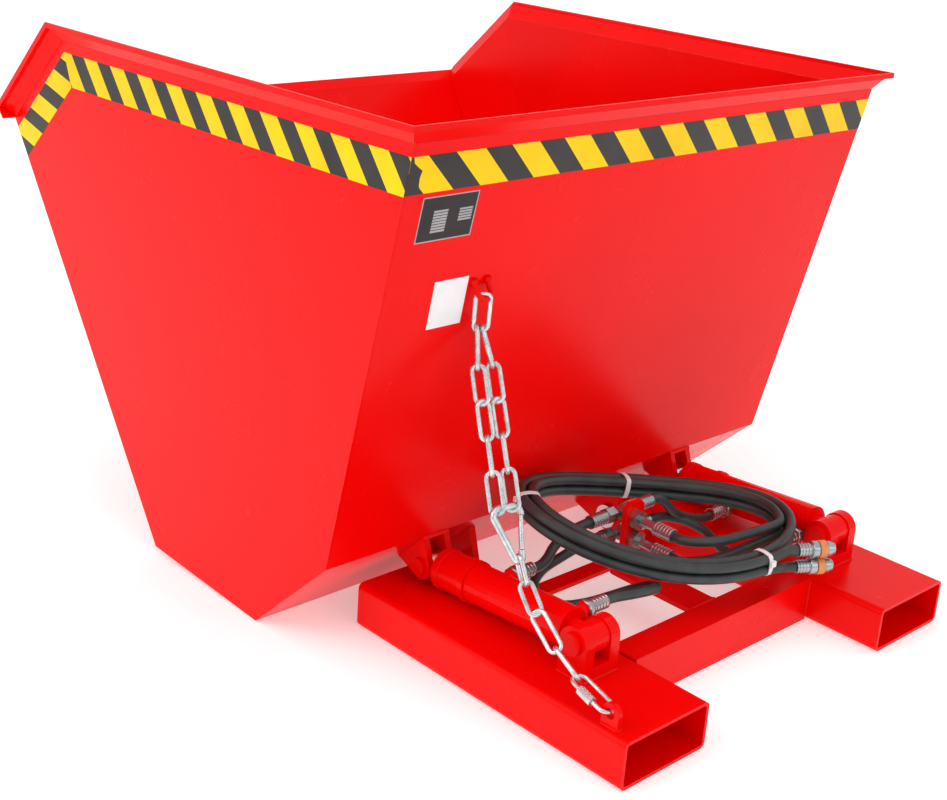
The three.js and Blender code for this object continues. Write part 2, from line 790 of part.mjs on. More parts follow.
// Manifold plate on the middle beam with two bulkhead unions, each feeding a tee on its front side
const manifoldHalf = manifoldWidth / 2;
const manifoldFloor = pocketHeight + seatGap;
const manifoldFrontY = manifoldY - manifoldThickness / 2;
const manifoldRearY = manifoldY + manifoldThickness / 2;
const manifoldShape = new THREE.Shape();
manifoldShape.moveTo(-manifoldHalf, manifoldFloor);
manifoldShape.lineTo(manifoldHalf, manifoldFloor);
manifoldShape.lineTo(manifoldHalf, manifoldTopZ - manifoldCorner);
manifoldShape.lineTo(manifoldHalf - manifoldCorner, manifoldTopZ);
manifoldShape.lineTo(-manifoldHalf + manifoldCorner, manifoldTopZ);
manifoldShape.lineTo(-manifoldHalf, manifoldTopZ - manifoldCorner);
const manifoldGeometry = new THREE.ExtrudeGeometry(manifoldShape, { depth: manifoldThickness, bevelEnabled: false });
manifoldGeometry.rotateX(Math.PI / 2);
manifoldGeometry.translate(0, manifoldRearY, 0);
const unions = [["lower", lowerUnionZ], ["upper", upperUnionZ]];
const unionHoles = unions.map(([, z]) =>
  bar(
    [0, manifoldFrontY - cutOverrun, z],
    [0, manifoldRearY + cutOverrun, z],
    unionDiameter + 2 * pinClearance,
  ),
);
addPart("manifold_plate", unionHoles.reduce((plate, hole) => plate.subtract(hole), solid(manifoldGeometry)), red);

const teeY = manifoldY - teeOffset;
const teeEndX = 2 * teeArm;
const unionFrontY = manifoldFrontY - unionFace;
const ferruleStartY = manifoldRearY + unionNutLength + unionReach - seatGap;
const ferruleEndY = ferruleStartY + rearFerruleLength;

for (const [name, z] of unions) {
  addPart(
    `bulkhead_union_${name}`,
    union(
      bar([0, unionFrontY, z], [0, manifoldRearY + unionNutLength, z], unionDiameter),
      hexBar([0, manifoldRearY + seatGap, z], [0, manifoldRearY + unionNutLength, z], bulkheadFlats),
      bar([0, manifoldRearY + unionNutLength - fusedBy, z], [0, ferruleStartY + fusedBy, z], unionNeck, smallSteps),
      bar([0, ferruleStartY, z], [0, ferruleEndY, z], ferruleDiameter, smallSteps),
    ),
    fitting,
  );
  addPart(
    `tee_${name}`,
    union(
      hexBar([0, teeY, z], [0, unionFrontY - seatGap, z], hexFlats),
      bar([-teeArm, teeY, z], [teeArm, teeY, z], unionNeck, smallSteps),
      ...[-1, 1].map((end) => hexBar([end * (teeArm / 2), teeY, z], [end * teeArm, teeY, z], hexFlats)),
      ...[-1, 1].map((end) => bar([end * (teeArm - fusedBy), teeY, z], [end * teeEndX, teeY, z], ferruleDiameter, smallSteps)),
    ),
    fitting,
  );
}

// Hoses from the tees to the cylinders. The route points are for the side of the port that each reaches.
const longHoseSteps = 36;
const shortHoseSteps = 20;
const portReach = barrelDiameter / 2 + hexLength + ferruleLength + seatGap;
const portAt = (name, station, x) => onCylinder(x, station, portHeight[name]);
const leftPort = (station, x) => portAt("left", station, x);
const rightPort = (station, x) => portAt("right", station, -x);
const portFaceX = cylinderX - portReach;
const teeFaceX = teeEndX + seatGap;
const straight = hoseDiameter;

const hoseRoutes = {
  left_rear: [
    [teeFaceX, teeY, lowerUnionZ],
    [teeFaceX + straight, teeY, lowerUnionZ],
    [118, -341, 106],
    [158, -328, 92],
    [190, -303, 84],
    [197, -272, 83],
    [180, -240, 91],
    [150, -212, 104],
    [122, -190, 116],
    [128, -177, 125],
    [152, -179, 129],
    leftPort(rearPortStation, portFaceX - straight),
    leftPort(rearPortStation, portFaceX),
  ],
  left_front: [
    [teeFaceX, teeY, upperUnionZ],
    [teeFaceX + straight, teeY, upperUnionZ],
    [112, -346, 146],
    [142, -344, 134],
    [166, -334, 126],
    leftPort(frontPortStation, portFaceX - straight),
    leftPort(frontPortStation, portFaceX),
  ],
  right_rear: [
    [-teeFaceX, teeY, lowerUnionZ],
    [-teeFaceX - straight, teeY, lowerUnionZ],
    [-112, -338, 104],
    [-138, -316, 86],
    [-152, -284, 80],
    [-156, -248, 84],
    [-156, -215, 93],
    [-168, -195, 102],
    rightPort(rearPortStation, portFaceX - straight),
    rightPort(rearPortStation, portFaceX),
  ],
  right_front: [
    [-teeFaceX, teeY, upperUnionZ],
    [-teeFaceX - straight, teeY, upperUnionZ],
    [-100, -342, 141],
    [-119, -338, 122],
    [-146, -336, 106],
    [-172, -330, 98],
    rightPort(frontPortStation, portFaceX - straight),
    rightPort(frontPortStation, portFaceX),
  ],
};

for (const [name, points] of Object.entries(hoseRoutes)) {
  addPart(`cylinder_hose_${name}`, hose(points, name.endsWith("rear") ? longHoseSteps : shortHoseSteps), rubber);
}

// Supply hoses: two loops round the manifold, the upper hose lying on the lower one
const coilAcross = [Math.cos(coilTurn), Math.sin(coilTurn)];
const coilAlong = [-Math.sin(coilTurn), Math.cos(coilTurn)];

function coilPoint(degrees, height) {
  const angle = THREE.MathUtils.degToRad(degrees);
  const growth = hosePitch * ((degrees - coilStart) / 360 - coilSweep / 720);
  const p = (coilLong + growth) * Math.cos(angle);
  const q = (coilShort + growth) * Math.sin(angle);
  return [
    coilX + coilAcross[0] * p + coilAlong[0] * q,
    coilY + coilAcross[1] * p + coilAlong[1] * q,
    coilMeanZ
      + coilWaveX * Math.cos(angle)
      + coilWaveY * Math.sin(angle)
      + coilWaveSecond * Math.cos(2 * angle)
      + height,
  ];
}

const couplerWay = new THREE.Vector3(-0.87, 0.49, 0).normalize();
const couplerStarts = { lower: [-135, -116, 113], upper: [-135, -116, 140] };
const hoseLayer = { lower: -hosePitch / 2, upper: hosePitch / 2 };

const supplyRoutes = {
  lower: {
    lead: [
      [0, ferruleEndY + seatGap, lowerUnionZ],
      [0, ferruleEndY + seatGap + straight, lowerUnionZ],
      [-14, -208, 119],
      [-46, -192, 122],
      [-90, -186, 125],
      [-136, -182, 128],
    ],
    tail: [
      [-100, -124, 118],
    ],
  },
  upper: {
    lead: [
      [0, ferruleEndY + seatGap, upperUnionZ],
      [0, ferruleEndY + seatGap + straight, upperUnionZ],
      [-14, -208, 151],
      [-46, -192, 150],
      [-90, -186, 148],
      [-136, -182, 147],
    ],
    tail: [
      [-100, -124, 139],
    ],
  },
};

const coilDegrees = 360 / coilStepsPerTurn;
const supplySteps = 150;

for (const [name, { lead, tail }] of Object.entries(supplyRoutes)) {
  const loops = [];
  for (let degrees = coilStart; degrees <= coilStart + coilSweep; degrees += coilDegrees) {
    loops.push(coilPoint(degrees, hoseLayer[name]));
  }
  const face = new THREE.Vector3(...couplerStarts[name]);
  const before = face.clone().addScaledVector(couplerWay, -straight);
  const route = [...lead, ...loops, ...tail].map((point) => new THREE.Vector3(...point));
  route.push(before, face);
  const path = new THREE.CatmullRomCurve3(route, false, "centripetal");
  path.arcLengthDivisions = 2000;
  const points = path.getSpacedPoints(supplySteps);
  addPart(`supply_hose_${name}`, tube(points, hoseDiameter / 2, 6, false), rubber);
  console.log(`supply_hose_${name} length ${path.getLength().toFixed(0)} mm, least gap to itself ${ownGap(path)} mm`);

  const at = (distance) => face.clone().addScaledVector(couplerWay, distance).toArray();
  addPart(
    `quick_coupler_${name}`,
    union(
      bar(at(seatGap), at(couplerFerruleEnd), ferruleDiameter, smallSteps),
      hexBar(at(couplerFerruleEnd - fusedBy), at(couplerHexEnd), hexFlats),
      bar(at(couplerHexEnd - fusedBy), at(couplerSleeveEnd), couplerDiameter, roundSteps),
      bar(at(couplerSleeveEnd - fusedBy), at(couplerLength), hexFlats, roundSteps),
    ),
    fitting,
  );
}

// Least free space between stretches of one hose that lie apart along it.
function ownGap(path) {
  const samples = path.getSpacedPoints(800);
  const step = path.getLength() / 800;
  const apart = Math.ceil((4 * hoseDiameter) / step);
  let least = Infinity;
  let where = "";
  for (let i = 0; i < samples.length; i += 1) {
    for (let j = i + apart; j < samples.length; j += 1) {
      const distance = samples[i].distanceTo(samples[j]);
      if (distance < least) {
        least = distance;
        where = [...samples[i].toArray(), ...samples[j].toArray()].map((v) => v.toFixed(0));
      }
    }
  }
  return `${(least - hoseDiameter).toFixed(2)} at ${where}`;
}

// Cable ties round the four strands
const tieInner = hosePitch / 2 + hoseDiameter / 2 + pinClearance;
const tieOuter = tieInner + tieThickness;
for (const [k, degrees] of [272, 358, 482].entries()) {
  const turnPoint = new THREE.Vector3(...coilPoint(degrees, 0));
  const nextPoint = new THREE.Vector3(...coilPoint(degrees + 360, 0));
  const centre = turnPoint.clone().add(nextPoint).divideScalar(2);
  const along = new THREE.Vector3(...coilPoint(degrees + 1, 0)).sub(new THREE.Vector3(...coilPoint(degrees - 1, 0)));
  along.normalize();
  const outward = along.clone().cross(new THREE.Vector3(0, 0, 1)).normalize();
  const up = outward.clone().cross(along).normalize();
  const ring = roundedRectangle(2 * tieOuter, 2 * tieOuter, tieOuter / 3);
  ring.holes.push(new THREE.Path(roundedRectangle(2 * tieInner, 2 * tieInner, tieInner / 3).getPoints(2)));
  const geometry = new THREE.ExtrudeGeometry(ring, { depth: tieWidth, bevelEnabled: false, curveSegments: 2 });
  geometry.translate(0, 0, -tieWidth / 2);
  const placed = new THREE.Matrix4().makeBasis(outward, up, outward.clone().cross(up));
  placed.setPosition(centre);
  geometry.applyMatrix4(placed);
  addPart(`cable_tie_${k + 1}`, geometry, nylon);
}

// Safety chain
function placedLoop(outline, radius, sides, origin, across, down) {
  const points = outline.map(([a, d]) => origin.clone().addScaledVector(across, a).addScaledVector(down, d));
  return tube(points, radius, sides, true);
}

// Centre line of a link: straight sides with half-round ends; it starts at zero and ends at length.
function linkOutline(length, width, steps) {
  const radius = width / 2;
  const outline = [];
  for (let k = 0; k <= steps; k += 1) {
    const angle = (Math.PI * k) / steps;
    outline.push([-radius * Math.cos(angle), radius - radius * Math.sin(angle)]);
  }
  for (let k = 0; k <= steps; k += 1) {
    const angle = (Math.PI * k) / steps;
    outline.push([radius * Math.cos(angle), length - radius + radius * Math.sin(angle)]);
  }
  return outline;
}

// A run of links through the given joints, the first and last of which are the bars that hold the run.
// Each link has its own turn about its length, in degrees from lying flat toward the rear.
function strand(joints, turns) {
  const overBar = wire + 2 * seatGap;
  const overLink = (wire - linkOverlap) / 2;
  const links = turns.map((turn, k) => {
    const down = joints[k + 1].clone().sub(joints[k]).normalize();
    const start = joints[k].clone().addScaledVector(down, k === 0 ? -overBar : -overLink);
    const end = joints[k + 1].clone().addScaledVector(down, k === turns.length - 1 ? overBar : overLink);
    const across = new THREE.Vector3(1, 0, 0);
    across.addScaledVector(down, -across.dot(down)).normalize();
    across.applyAxisAngle(down, THREE.MathUtils.degToRad(turn));
    const outline = linkOutline(start.distanceTo(end), linkWidth - wire, 5);
    return solid(placedLoop(outline, wire / 2, 6, start, across, down));
  });
  return union(...links);
}

const stapleAt = new THREE.Vector3(306, -363, 555);
const topLinkStart = new THREE.Vector3(308, -361, 541);
const topLinkEnd = new THREE.Vector3(308, -360, 490);
const hookTop = new THREE.Vector3(317, -281, 268);
const hookEnd = new THREE.Vector3(322, -242, 206);
const lugInset = 15;
const lugRise = 20;
const lugY = -40;
const quickLinkReach = new THREE.Vector3(-11, -72, 12);
const quickEnd = new THREE.Vector3(pocketInnerX + pocketWidth - lugInset, lugY, pocketHeight + lugRise);
const quickStart = quickEnd.clone().add(quickLinkReach);

// Staple on the rear wall: a round bar bent to a U, its feet against the wall
const stapleRadius = 14;
const stapleWire = 8;
const wallY = (z) => heelY + (z - heelZ) * Math.tan(rearLean);
const staplePoints = [];
const stapleOut = 12;
const stapleFootDepth = 1;
const stapleCutHigh = 30;
const stapleCutDeep = 40;
const stapleCutWide = 60;
staplePoints.push(new THREE.Vector3(stapleAt.x - stapleRadius, wallY(stapleAt.z) + stapleFootDepth, stapleAt.z));
for (let k = 0; k <= 8; k += 1) {
  const angle = (Math.PI * k) / 8;
  staplePoints.push(
    new THREE.Vector3(
      stapleAt.x - stapleRadius * Math.cos(angle),
      wallY(stapleAt.z) + stapleOut / 2 + stapleRadius * Math.sin(angle),
      stapleAt.z,
    ),
  );
}
staplePoints.push(new THREE.Vector3(stapleAt.x + stapleRadius, wallY(stapleAt.z) + stapleFootDepth, stapleAt.z));
addPart("chain_staple", trimmed(solid(tube(staplePoints, stapleWire / 2, 8, false))), zinc);

function trimmed(staple) {
  const back = solid(
    sidePlate(
      [
        [wallY(stapleAt.z - stapleCutHigh) + seatGap, stapleAt.z - stapleCutHigh],
        [wallY(stapleAt.z + stapleCutHigh) + seatGap, stapleAt.z + stapleCutHigh],
        [wallY(stapleAt.z + stapleCutHigh) - stapleCutDeep, stapleAt.z + stapleCutHigh],
        [wallY(stapleAt.z - stapleCutHigh) - stapleCutDeep, stapleAt.z - stapleCutHigh],
      ],
      stapleAt.x - stapleCutWide,
      stapleAt.x + stapleCutWide,
    ),
  );
  return staple.subtract(back);
}

// Frame of a flat ring that hangs from one point to another, with its plane facing the rear
function hanging(from, to) {
  const down = to.clone().sub(from);
  const length = down.length();
  down.normalize();
  const flat = new THREE.Vector3(1, 0, 0);
  flat.addScaledVector(down, -flat.dot(down)).normalize();
  return { down, length, flat, edge: down.clone().cross(flat) };
}

// Top link: a wide link with nearly straight ends that holds both strands side by side
const topLinkWidth = 30;
const topLinkCorner = 7;
const strandHalfSpread = 5;
const strandSpreadTop = 13;
const strandSpreadBelow = 16;
const strandTurns = [90, 0, 90, 0, 90];
const lowerTurns = [90, 10, 10, 90];
const lowerJoints = [
  [323, -228, 180],
  [327, -199, 150],
  [334, -152, 120],
];

function wideLinkOutline(length, width, corner, steps) {
  const outline = [];
  const half = width / 2;
  const centres = [
    [-half + corner, corner, Math.PI],
    [half - corner, corner, 1.5 * Math.PI],
    [half - corner, length - corner, 0],
    [-half + corner, length - corner, 0.5 * Math.PI],
  ];
  for (const [a, d, from] of centres) {
    for (let k = 0; k <= steps; k += 1) {
      const angle = from + (Math.PI / 2) * (k / steps);
      outline.push([a + corner * Math.cos(angle), d + corner * Math.sin(angle)]);
    }
  }
  return outline;
}

const top = hanging(topLinkStart, topLinkEnd);
const topOutline = wideLinkOutline(top.length, topLinkWidth - wire, topLinkCorner, 4);
addPart("chain_top_link", solid(placedLoop(topOutline, wire / 2, 6, topLinkStart, top.flat, top.down)), zinc);

// Snap hook: a pear-shaped ring, wide above and narrow below, with a sprung gate in one side
const hookWire = 6;
const hookWide = 52;
const hookNarrow = 14;
const hook = hanging(hookTop, hookEnd);
const hookCorner = 9;
const hookSteps = 6;
const hookOutline = [];
for (const [a, d, radius, from, sweep] of [
  [-hookWide / 2 + hookCorner, hookCorner, hookCorner, Math.PI, Math.PI / 2],
  [hookWide / 2 - hookCorner, hookCorner, hookCorner, 1.5 * Math.PI, Math.PI / 2],
  [0, hook.length - hookNarrow / 2, hookNarrow / 2, 0, Math.PI],
]) {
  for (let k = 0; k <= hookSteps; k += 1) {
    const angle = from + sweep * (k / hookSteps);
    hookOutline.push([a + radius * Math.cos(angle), d + radius * Math.sin(angle)]);
  }
}
const hookRing = solid(placedLoop(hookOutline, hookWire / 2, 8, hookTop, hook.flat, hook.down));

// The gate closes the side toward the middle of the bucket.
const gateTopAt = [-hookWide / 2, hookCorner];
const gateLowAt = [-hookNarrow / 2, hook.length - hookNarrow / 2];
const onHook = ([a, d]) => hookTop.clone().addScaledVector(hook.flat, a).addScaledVector(hook.down, d);
const between = (from, to, share) => [from[0] + (to[0] - from[0]) * share, from[1] + (to[1] - from[1]) * share];
const gateTopShare = 0.08;
const gateLowShare = 0.88;
const gateTopGap = 0.6;
const gateLowGap = 1.6;
const gateCutDiameter = 9.6;
const gateTop = onHook(between(gateTopAt, gateLowAt, gateTopShare));
const gateLow = onHook(between(gateTopAt, gateLowAt, gateLowShare));
const gateWay = gateLow.clone().sub(gateTop).normalize();
const cutFrom = gateTop.clone().addScaledVector(gateWay, -gateTopGap).toArray();
const cutTo = gateLow.clone().addScaledVector(gateWay, gateLowGap).toArray();
addPart("snap_hook", hookRing.subtract(bar(cutFrom, cutTo, gateCutDiameter, 8)), zinc);
addPart("snap_hook_gate", bar(gateTop.toArray(), gateLow.toArray(), hookWire, 8), zinc);

// Two strands from the top link to the hook's wide end; they lie against each other where they meet.
const strands = [1, -1].map((side) => {
  const from = topLinkEnd.clone().addScaledVector(top.flat, side * strandHalfSpread);
  const to = onHook([side * strandSpreadBelow, 0]);
  const middle = topLinkEnd.clone().lerp(hookTop, 1 / strandTurns.length);
  const fork = middle.addScaledVector(top.flat, side * strandSpreadTop);
  const rest = [1, 2, 3].map((k) => fork.clone().lerp(to, k / (strandTurns.length - 1)));
  return strand([from, fork, ...rest, to], strandTurns);
});
const strandNames = ["left", "right"];
strands.forEach((shape, k) => addPart(`chain_strand_${strandNames[k]}`, shape, zinc));

// Lower strand from the hook's narrow end to the quick link
const quickLinkWire = 7;
const lowerRun = [hookEnd, ...lowerJoints.map((point) => new THREE.Vector3(...point)), quickStart];
addPart("chain_lower_strand", strand(lowerRun, lowerTurns), zinc);

// Quick link: a long ring with a threaded sleeve on one side
const quickLinkWidth = 30;
const quick = hanging(quickStart, quickEnd);
const quickOutline = linkOutline(quick.length, quickLinkWidth - quickLinkWire, 5);
const quickRing = solid(placedLoop(quickOutline, wire / 2, 8, quickStart, quick.flat, quick.down));
const sleeveSide = (quickLinkWidth - quickLinkWire) / 2;
const sleeveLength = 26;
const sleeveStart = 12;
const mouthLength = 10;
const onQuick = (a, d) => quickStart.clone().addScaledVector(quick.flat, a).addScaledVector(quick.down, d).toArray();
const sleeveMiddle = sleeveSide + sleeveStart + sleeveLength / 2;
const alongSleeve = (distance) => onQuick(sleeveSide, sleeveMiddle + distance);
const mouth = bar(alongSleeve(-mouthLength / 2), alongSleeve(mouthLength / 2), wire * 2);
addPart("quick_link", quickRing.subtract(mouth), zinc);
const sleeve = hexBar(alongSleeve(-sleeveLength / 2), alongSleeve(sleeveLength / 2), wire * 2);
const sleeveHole = bar(
  alongSleeve(-sleeveLength / 2 - cutOverrun),
  alongSleeve(sleeveLength / 2 + cutOverrun),
  wire + 3 * seatGap,
  smallSteps,
);
addPart("quick_link_nut", sleeve.subtract(sleeveHole), zinc);

// Chain lug: an upright plate on the pocket with a hole for the quick link
const lugPlateThickness = 8;
const lugPlateHalf = 14;
const lugHole = 15;
const linkSag = 2.7;
const lugCentre = quickEnd.clone().addScaledVector(quick.down, lugHole / 2 - wire / 2 - seatGap - linkSag);
const lugPlateOutline = hullOf([
  ...circlePoints(lugCentre.y, lugCentre.z, lugPlateHalf),
  [lugCentre.y - lugPlateHalf, clevisFloor],
  [lugCentre.y + lugPlateHalf, clevisFloor],
]);
const lugX0 = lugCentre.x - lugPlateThickness / 2;
const lugPlate = solid(sidePlate(lugPlateOutline, lugX0, lugX0 + lugPlateThickness));
const lugPlateHole = crossBar(
  lugX0 - cutOverrun,
  lugX0 + lugPlateThickness + cutOverrun,
  lugCentre.y,
  lugCentre.z,
  lugHole,
);
addPart("chain_lug", lugPlate.subtract(lugPlateHole), red);

// Bring the middle of the whole length to the origin.
const whole = new THREE.Box3().setFromObject(group);
const shift = -(whole.min.y + whole.max.y) / 2;
console.log(`overall ${whole.getSize(new THREE.Vector3()).toArray().map((v) => v.toFixed(1))}, shift ${shift.toFixed(3)}`);
for (const mesh of group.children) {
  mesh.position.y = shift;
}

export default group;
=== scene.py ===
# %% [markdown]
# # A hydraulic tipping bucket for forklifts, and how to give it its looks
#
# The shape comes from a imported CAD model: two fork pockets joined by a cross member, a folded sheet
# bucket hinged low on them, two cylinders that push it over, a coil of hose and a safety chain. This
# lesson adds what a solid model leaves out: paint, zinc and rubber, round hose and chain wire, welds,
# hazard tape and labels.

import json
import math
import random

import bmesh
import bpy
from mathutils import Matrix, Vector


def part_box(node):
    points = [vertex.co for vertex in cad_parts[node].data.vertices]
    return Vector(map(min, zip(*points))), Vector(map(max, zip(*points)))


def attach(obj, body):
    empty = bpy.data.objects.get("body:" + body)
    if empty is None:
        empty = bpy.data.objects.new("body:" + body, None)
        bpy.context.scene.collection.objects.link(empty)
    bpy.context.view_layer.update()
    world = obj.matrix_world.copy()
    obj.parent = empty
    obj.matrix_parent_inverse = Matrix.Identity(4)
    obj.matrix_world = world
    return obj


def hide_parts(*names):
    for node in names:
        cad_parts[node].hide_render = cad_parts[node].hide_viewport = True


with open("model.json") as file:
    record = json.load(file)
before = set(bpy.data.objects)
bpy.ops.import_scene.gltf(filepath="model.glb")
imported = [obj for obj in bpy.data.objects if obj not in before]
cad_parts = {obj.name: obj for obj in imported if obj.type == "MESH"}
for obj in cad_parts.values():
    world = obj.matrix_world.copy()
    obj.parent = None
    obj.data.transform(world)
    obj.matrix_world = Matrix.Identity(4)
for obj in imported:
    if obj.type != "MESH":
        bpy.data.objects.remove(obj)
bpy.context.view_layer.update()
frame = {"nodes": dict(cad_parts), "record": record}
nodes = frame["nodes"]

# %% [markdown]
# ## One way to give a place
#
# A fitter measures this product from the square rear ends of its fork pockets, where the forks go
# in, so every place below is given that way: x to the chain's side, y forward of the pockets' rear
# ends when negative, z up from the ground, all in millimetres. `at` turns such a place into metres
# in the frame of the model.

# %% Places in millimetres
MM = 0.001
pocket_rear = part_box("fork_pocket_left")[1].y


def at(x, y, z):
    """A place in millimetres from the pockets' rear ends, as a point of the model in metres."""
    return Vector((x * MM, pocket_rear + y * MM, z * MM))


print("pockets end at y", round(pocket_rear, 4))

# %% [markdown]
# ## The camera
#
# The eye stands off the rear corner on the chain's side, a little above the rim, so the rear wall,
# the long side wall and the tops of the pockets all show. Its three axes are written out because
# the picture is turned by a few degrees.

# %% Camera
eye = Vector((1.65555, 1.65757, 1.12558))
to_right = Vector((-0.728786, 0.681588, 0.065639))
to_top = Vector((-0.194014, -0.297474, 0.934809))
to_back = Vector((0.656680, 0.668541, 0.349033))

camera_data = bpy.data.cameras.new("studio_camera")
camera_data.sensor_width = 36.0
camera_data.lens = 58.88
camera_data.shift_x = 0.0007
camera_data.shift_y = -0.0145
camera_data.clip_start = 0.05
camera_data.clip_end = 100.0
camera = bpy.data.objects.new("studio_camera", camera_data)
bpy.context.scene.collection.objects.link(camera)
axes = Matrix((to_right, to_top, to_back)).transposed()
camera.matrix_world = Matrix.Translation(eye) @ axes.to_4x4()
bpy.context.scene.camera = camera
print("camera at", [round(v, 3) for v in eye])

# %% [markdown]
# ## Finishes
#
# Every finish is one small network: a soft noise shifts the colour between a base and a shade, a
# second one varies the roughness, and a third gives a fine relief. Only the numbers differ between
# gloss paint, galvanised wire and hose rubber. The noises use the object's own coordinates, so
# their scales are in real size: a scale of 400 repeats about every 2.5 mm.

# %% A finish from a few numbers
shade_until, base_from = 0.35, 0.65
least_roughness = 0.02


def finish(
    name, base, shade, roughness, spread=0.05, metallic=0.0, patch=12.0, grain=600.0, relief=0.05, shine=0.5
):
    """A procedural material: base and shade in patches, roughness plus or minus spread, fine relief."""
    material = bpy.data.materials.new(name)
    material.use_nodes = True
    tree = material.node_tree
    shader = tree.nodes["Principled BSDF"]
    shader.inputs["Metallic"].default_value = metallic
    shader.inputs["Specular IOR Level"].default_value = shine
    place = tree.nodes.new("ShaderNodeTexCoord")

    def noise(scale, detail):
        node = tree.nodes.new("ShaderNodeTexNoise")
        node.inputs["Scale"].default_value = scale
        node.inputs["Detail"].default_value = detail
        tree.links.new(place.outputs["Object"], node.inputs["Vector"])
        return node.outputs["Fac"]

    ramp = tree.nodes.new("ShaderNodeValToRGB")
    ramp.color_ramp.elements[0].position = shade_until
    ramp.color_ramp.elements[1].position = base_from
    ramp.color_ramp.elements[0].color = (*shade, 1.0)
    ramp.color_ramp.elements[1].color = (*base, 1.0)
    tree.links.new(noise(patch, detail=3.0), ramp.inputs["Fac"])
    tree.links.new(ramp.outputs["Color"], shader.inputs["Base Color"])

    span = tree.nodes.new("ShaderNodeMapRange")
    span.inputs["To Min"].default_value = max(roughness - spread, least_roughness)
    span.inputs["To Max"].default_value = roughness + spread
    tree.links.new(noise(patch * 4.0, detail=4.0), span.inputs["Value"])
    tree.links.new(span.outputs["Result"], shader.inputs["Roughness"])

    bump = tree.nodes.new("ShaderNodeBump")
    bump.inputs["Strength"].default_value = relief
    bump.inputs["Distance"].default_value = MM
    tree.links.new(noise(grain, detail=2.0), bump.inputs["Height"])
    tree.links.new(bump.outputs["Normal"], shader.inputs["Normal"])
    return material


paint = finish(
    "red_gloss_paint", (0.93, 0.001, 0.0005), (0.85, 0.0008, 0.0004),
    roughness=0.26, patch=3.0, grain=160.0, relief=0.08, shine=0.12,
)
print("first finish:", paint.name)

# %% [markdown]
# ## Metal, rubber, nylon and films
#
# A finish is told by its base, its shade and the few numbers in which it differs. The chain is more
# uneven than the plated fittings, because hot zinc freezes with a grain. Paint, tape and dark films
# get a low shine, so that the white room doesn't wash out their colours.

# %% The other finishes
zinc = finish(
    "galvanised_wire", (0.74, 0.79, 0.80), (0.52, 0.57, 0.58),
    roughness=0.26, spread=0.08, metallic=0.9, patch=90.0, grain=700.0, relief=0.14,
)
plated = finish(
    "plated_fitting", (0.44, 0.49, 0.50), (0.35, 0.40, 0.41),
    roughness=0.26, metallic=0.9, patch=45.0, grain=500.0, relief=0.04,
)
chrome = finish(
    "chromed_rod", (0.80, 0.81, 0.82), (0.72, 0.73, 0.75),
    roughness=0.12, spread=0.04, metallic=1.0, patch=40.0, grain=900.0, relief=0.02,
)
rubber = finish(
    "hose_cover", (0.036, 0.050, 0.049), (0.022, 0.031, 0.031),
    roughness=0.40, spread=0.08, patch=40.0, grain=800.0, relief=0.30,
)
nylon = finish("white_nylon", (0.86, 0.87, 0.86), (0.80, 0.81, 0.80), roughness=0.40, patch=80.0)
orange = finish(
    "orange_sleeve", (0.80, 0.30, 0.08), (0.66, 0.24, 0.07),
    roughness=0.38, spread=0.06, patch=90.0, grain=700.0, relief=0.10,
)
tape_grain = {"patch": 14.0, "grain": 260.0, "relief": 0.06}
yellow = finish(
    "tape_yellow", (0.98, 0.66, 0.004), (0.92, 0.58, 0.003), roughness=0.34, shine=0.12, **tape_grain
)
black = finish(
    "tape_black", (0.028, 0.024, 0.023), (0.016, 0.013, 0.013),
    roughness=0.30, spread=0.06, shine=0.3, **tape_grain,
)
film_grain = {"patch": 30.0, "grain": 500.0, "relief": 0.04}
label_white = finish("label_white", (0.90, 0.90, 0.91), (0.85, 0.85, 0.86), roughness=0.45, **film_grain)
label_dark = finish(
    "label_dark", (0.024, 0.018, 0.020), (0.016, 0.012, 0.013), roughness=0.40, shine=0.3, **film_grain
)
label_grey = finish("label_grey", (0.42, 0.41, 0.42), (0.36, 0.35, 0.36), roughness=0.42, **film_grain)
print("finishes:", len(bpy.data.materials))

# %% [markdown]
# ## Lines that bend smoothly
#
# A hose can't have a corner. `bend_through` draws the smooth line that passes through a few chosen
# points and spaces its own points evenly, and `round_bar` gives a line its thickness. Chain links,
# hook and staple are bent bars too, so it makes them as well. As a test, three points of a quarter
# round should give nearly its true length.

# %% Smooth lines and round bars
stretch_pieces, bar_roundness = 24, 4
tiny = 1e-9


def bend_through(points, step):
    """The smooth line through the points: its own points, about one step apart, and its length."""
    knots = [2 * points[0] - points[1], *points, 2 * points[-1] - points[-2]]
    fine = [points[0].copy()]
    for before, start, end, after in zip(knots, knots[1:], knots[2:], knots[3:]):
        gaps = [max((b - a).length ** 0.5, tiny) for a, b in ((before, start), (start, end), (end, after))]
        leave = (start - before) / gaps[0] - (end - before) / (gaps[0] + gaps[1]) + (end - start) / gaps[1]
        arrive = (end - start) / gaps[1] - (after - start) / (gaps[1] + gaps[2]) + (after - end) / gaps[2]
        leave, arrive = leave * gaps[1], arrive * gaps[1]
        for k in range(1, stretch_pieces + 1):
            t = k / stretch_pieces
            fine.append(
                start * (2 * t**3 - 3 * t**2 + 1)
                + leave * (t**3 - 2 * t**2 + t)
                + end * (3 * t**2 - 2 * t**3)
                + arrive * (t**3 - t**2)
            )
    travel = [0.0]
    for a, b in zip(fine, fine[1:]):
        travel.append(travel[-1] + (b - a).length)
    count = max(2, round(travel[-1] / step))
    even = []
    k = 0
    for n in range(count + 1):
        wanted = travel[-1] * n / count
        while k < len(travel) - 2 and travel[k + 1] < wanted:
            k += 1
        share = (wanted - travel[k]) / max(travel[k + 1] - travel[k], tiny)
        even.append(fine[k].lerp(fine[k + 1], min(max(share, 0.0), 1.0)))
    return even, travel[-1]


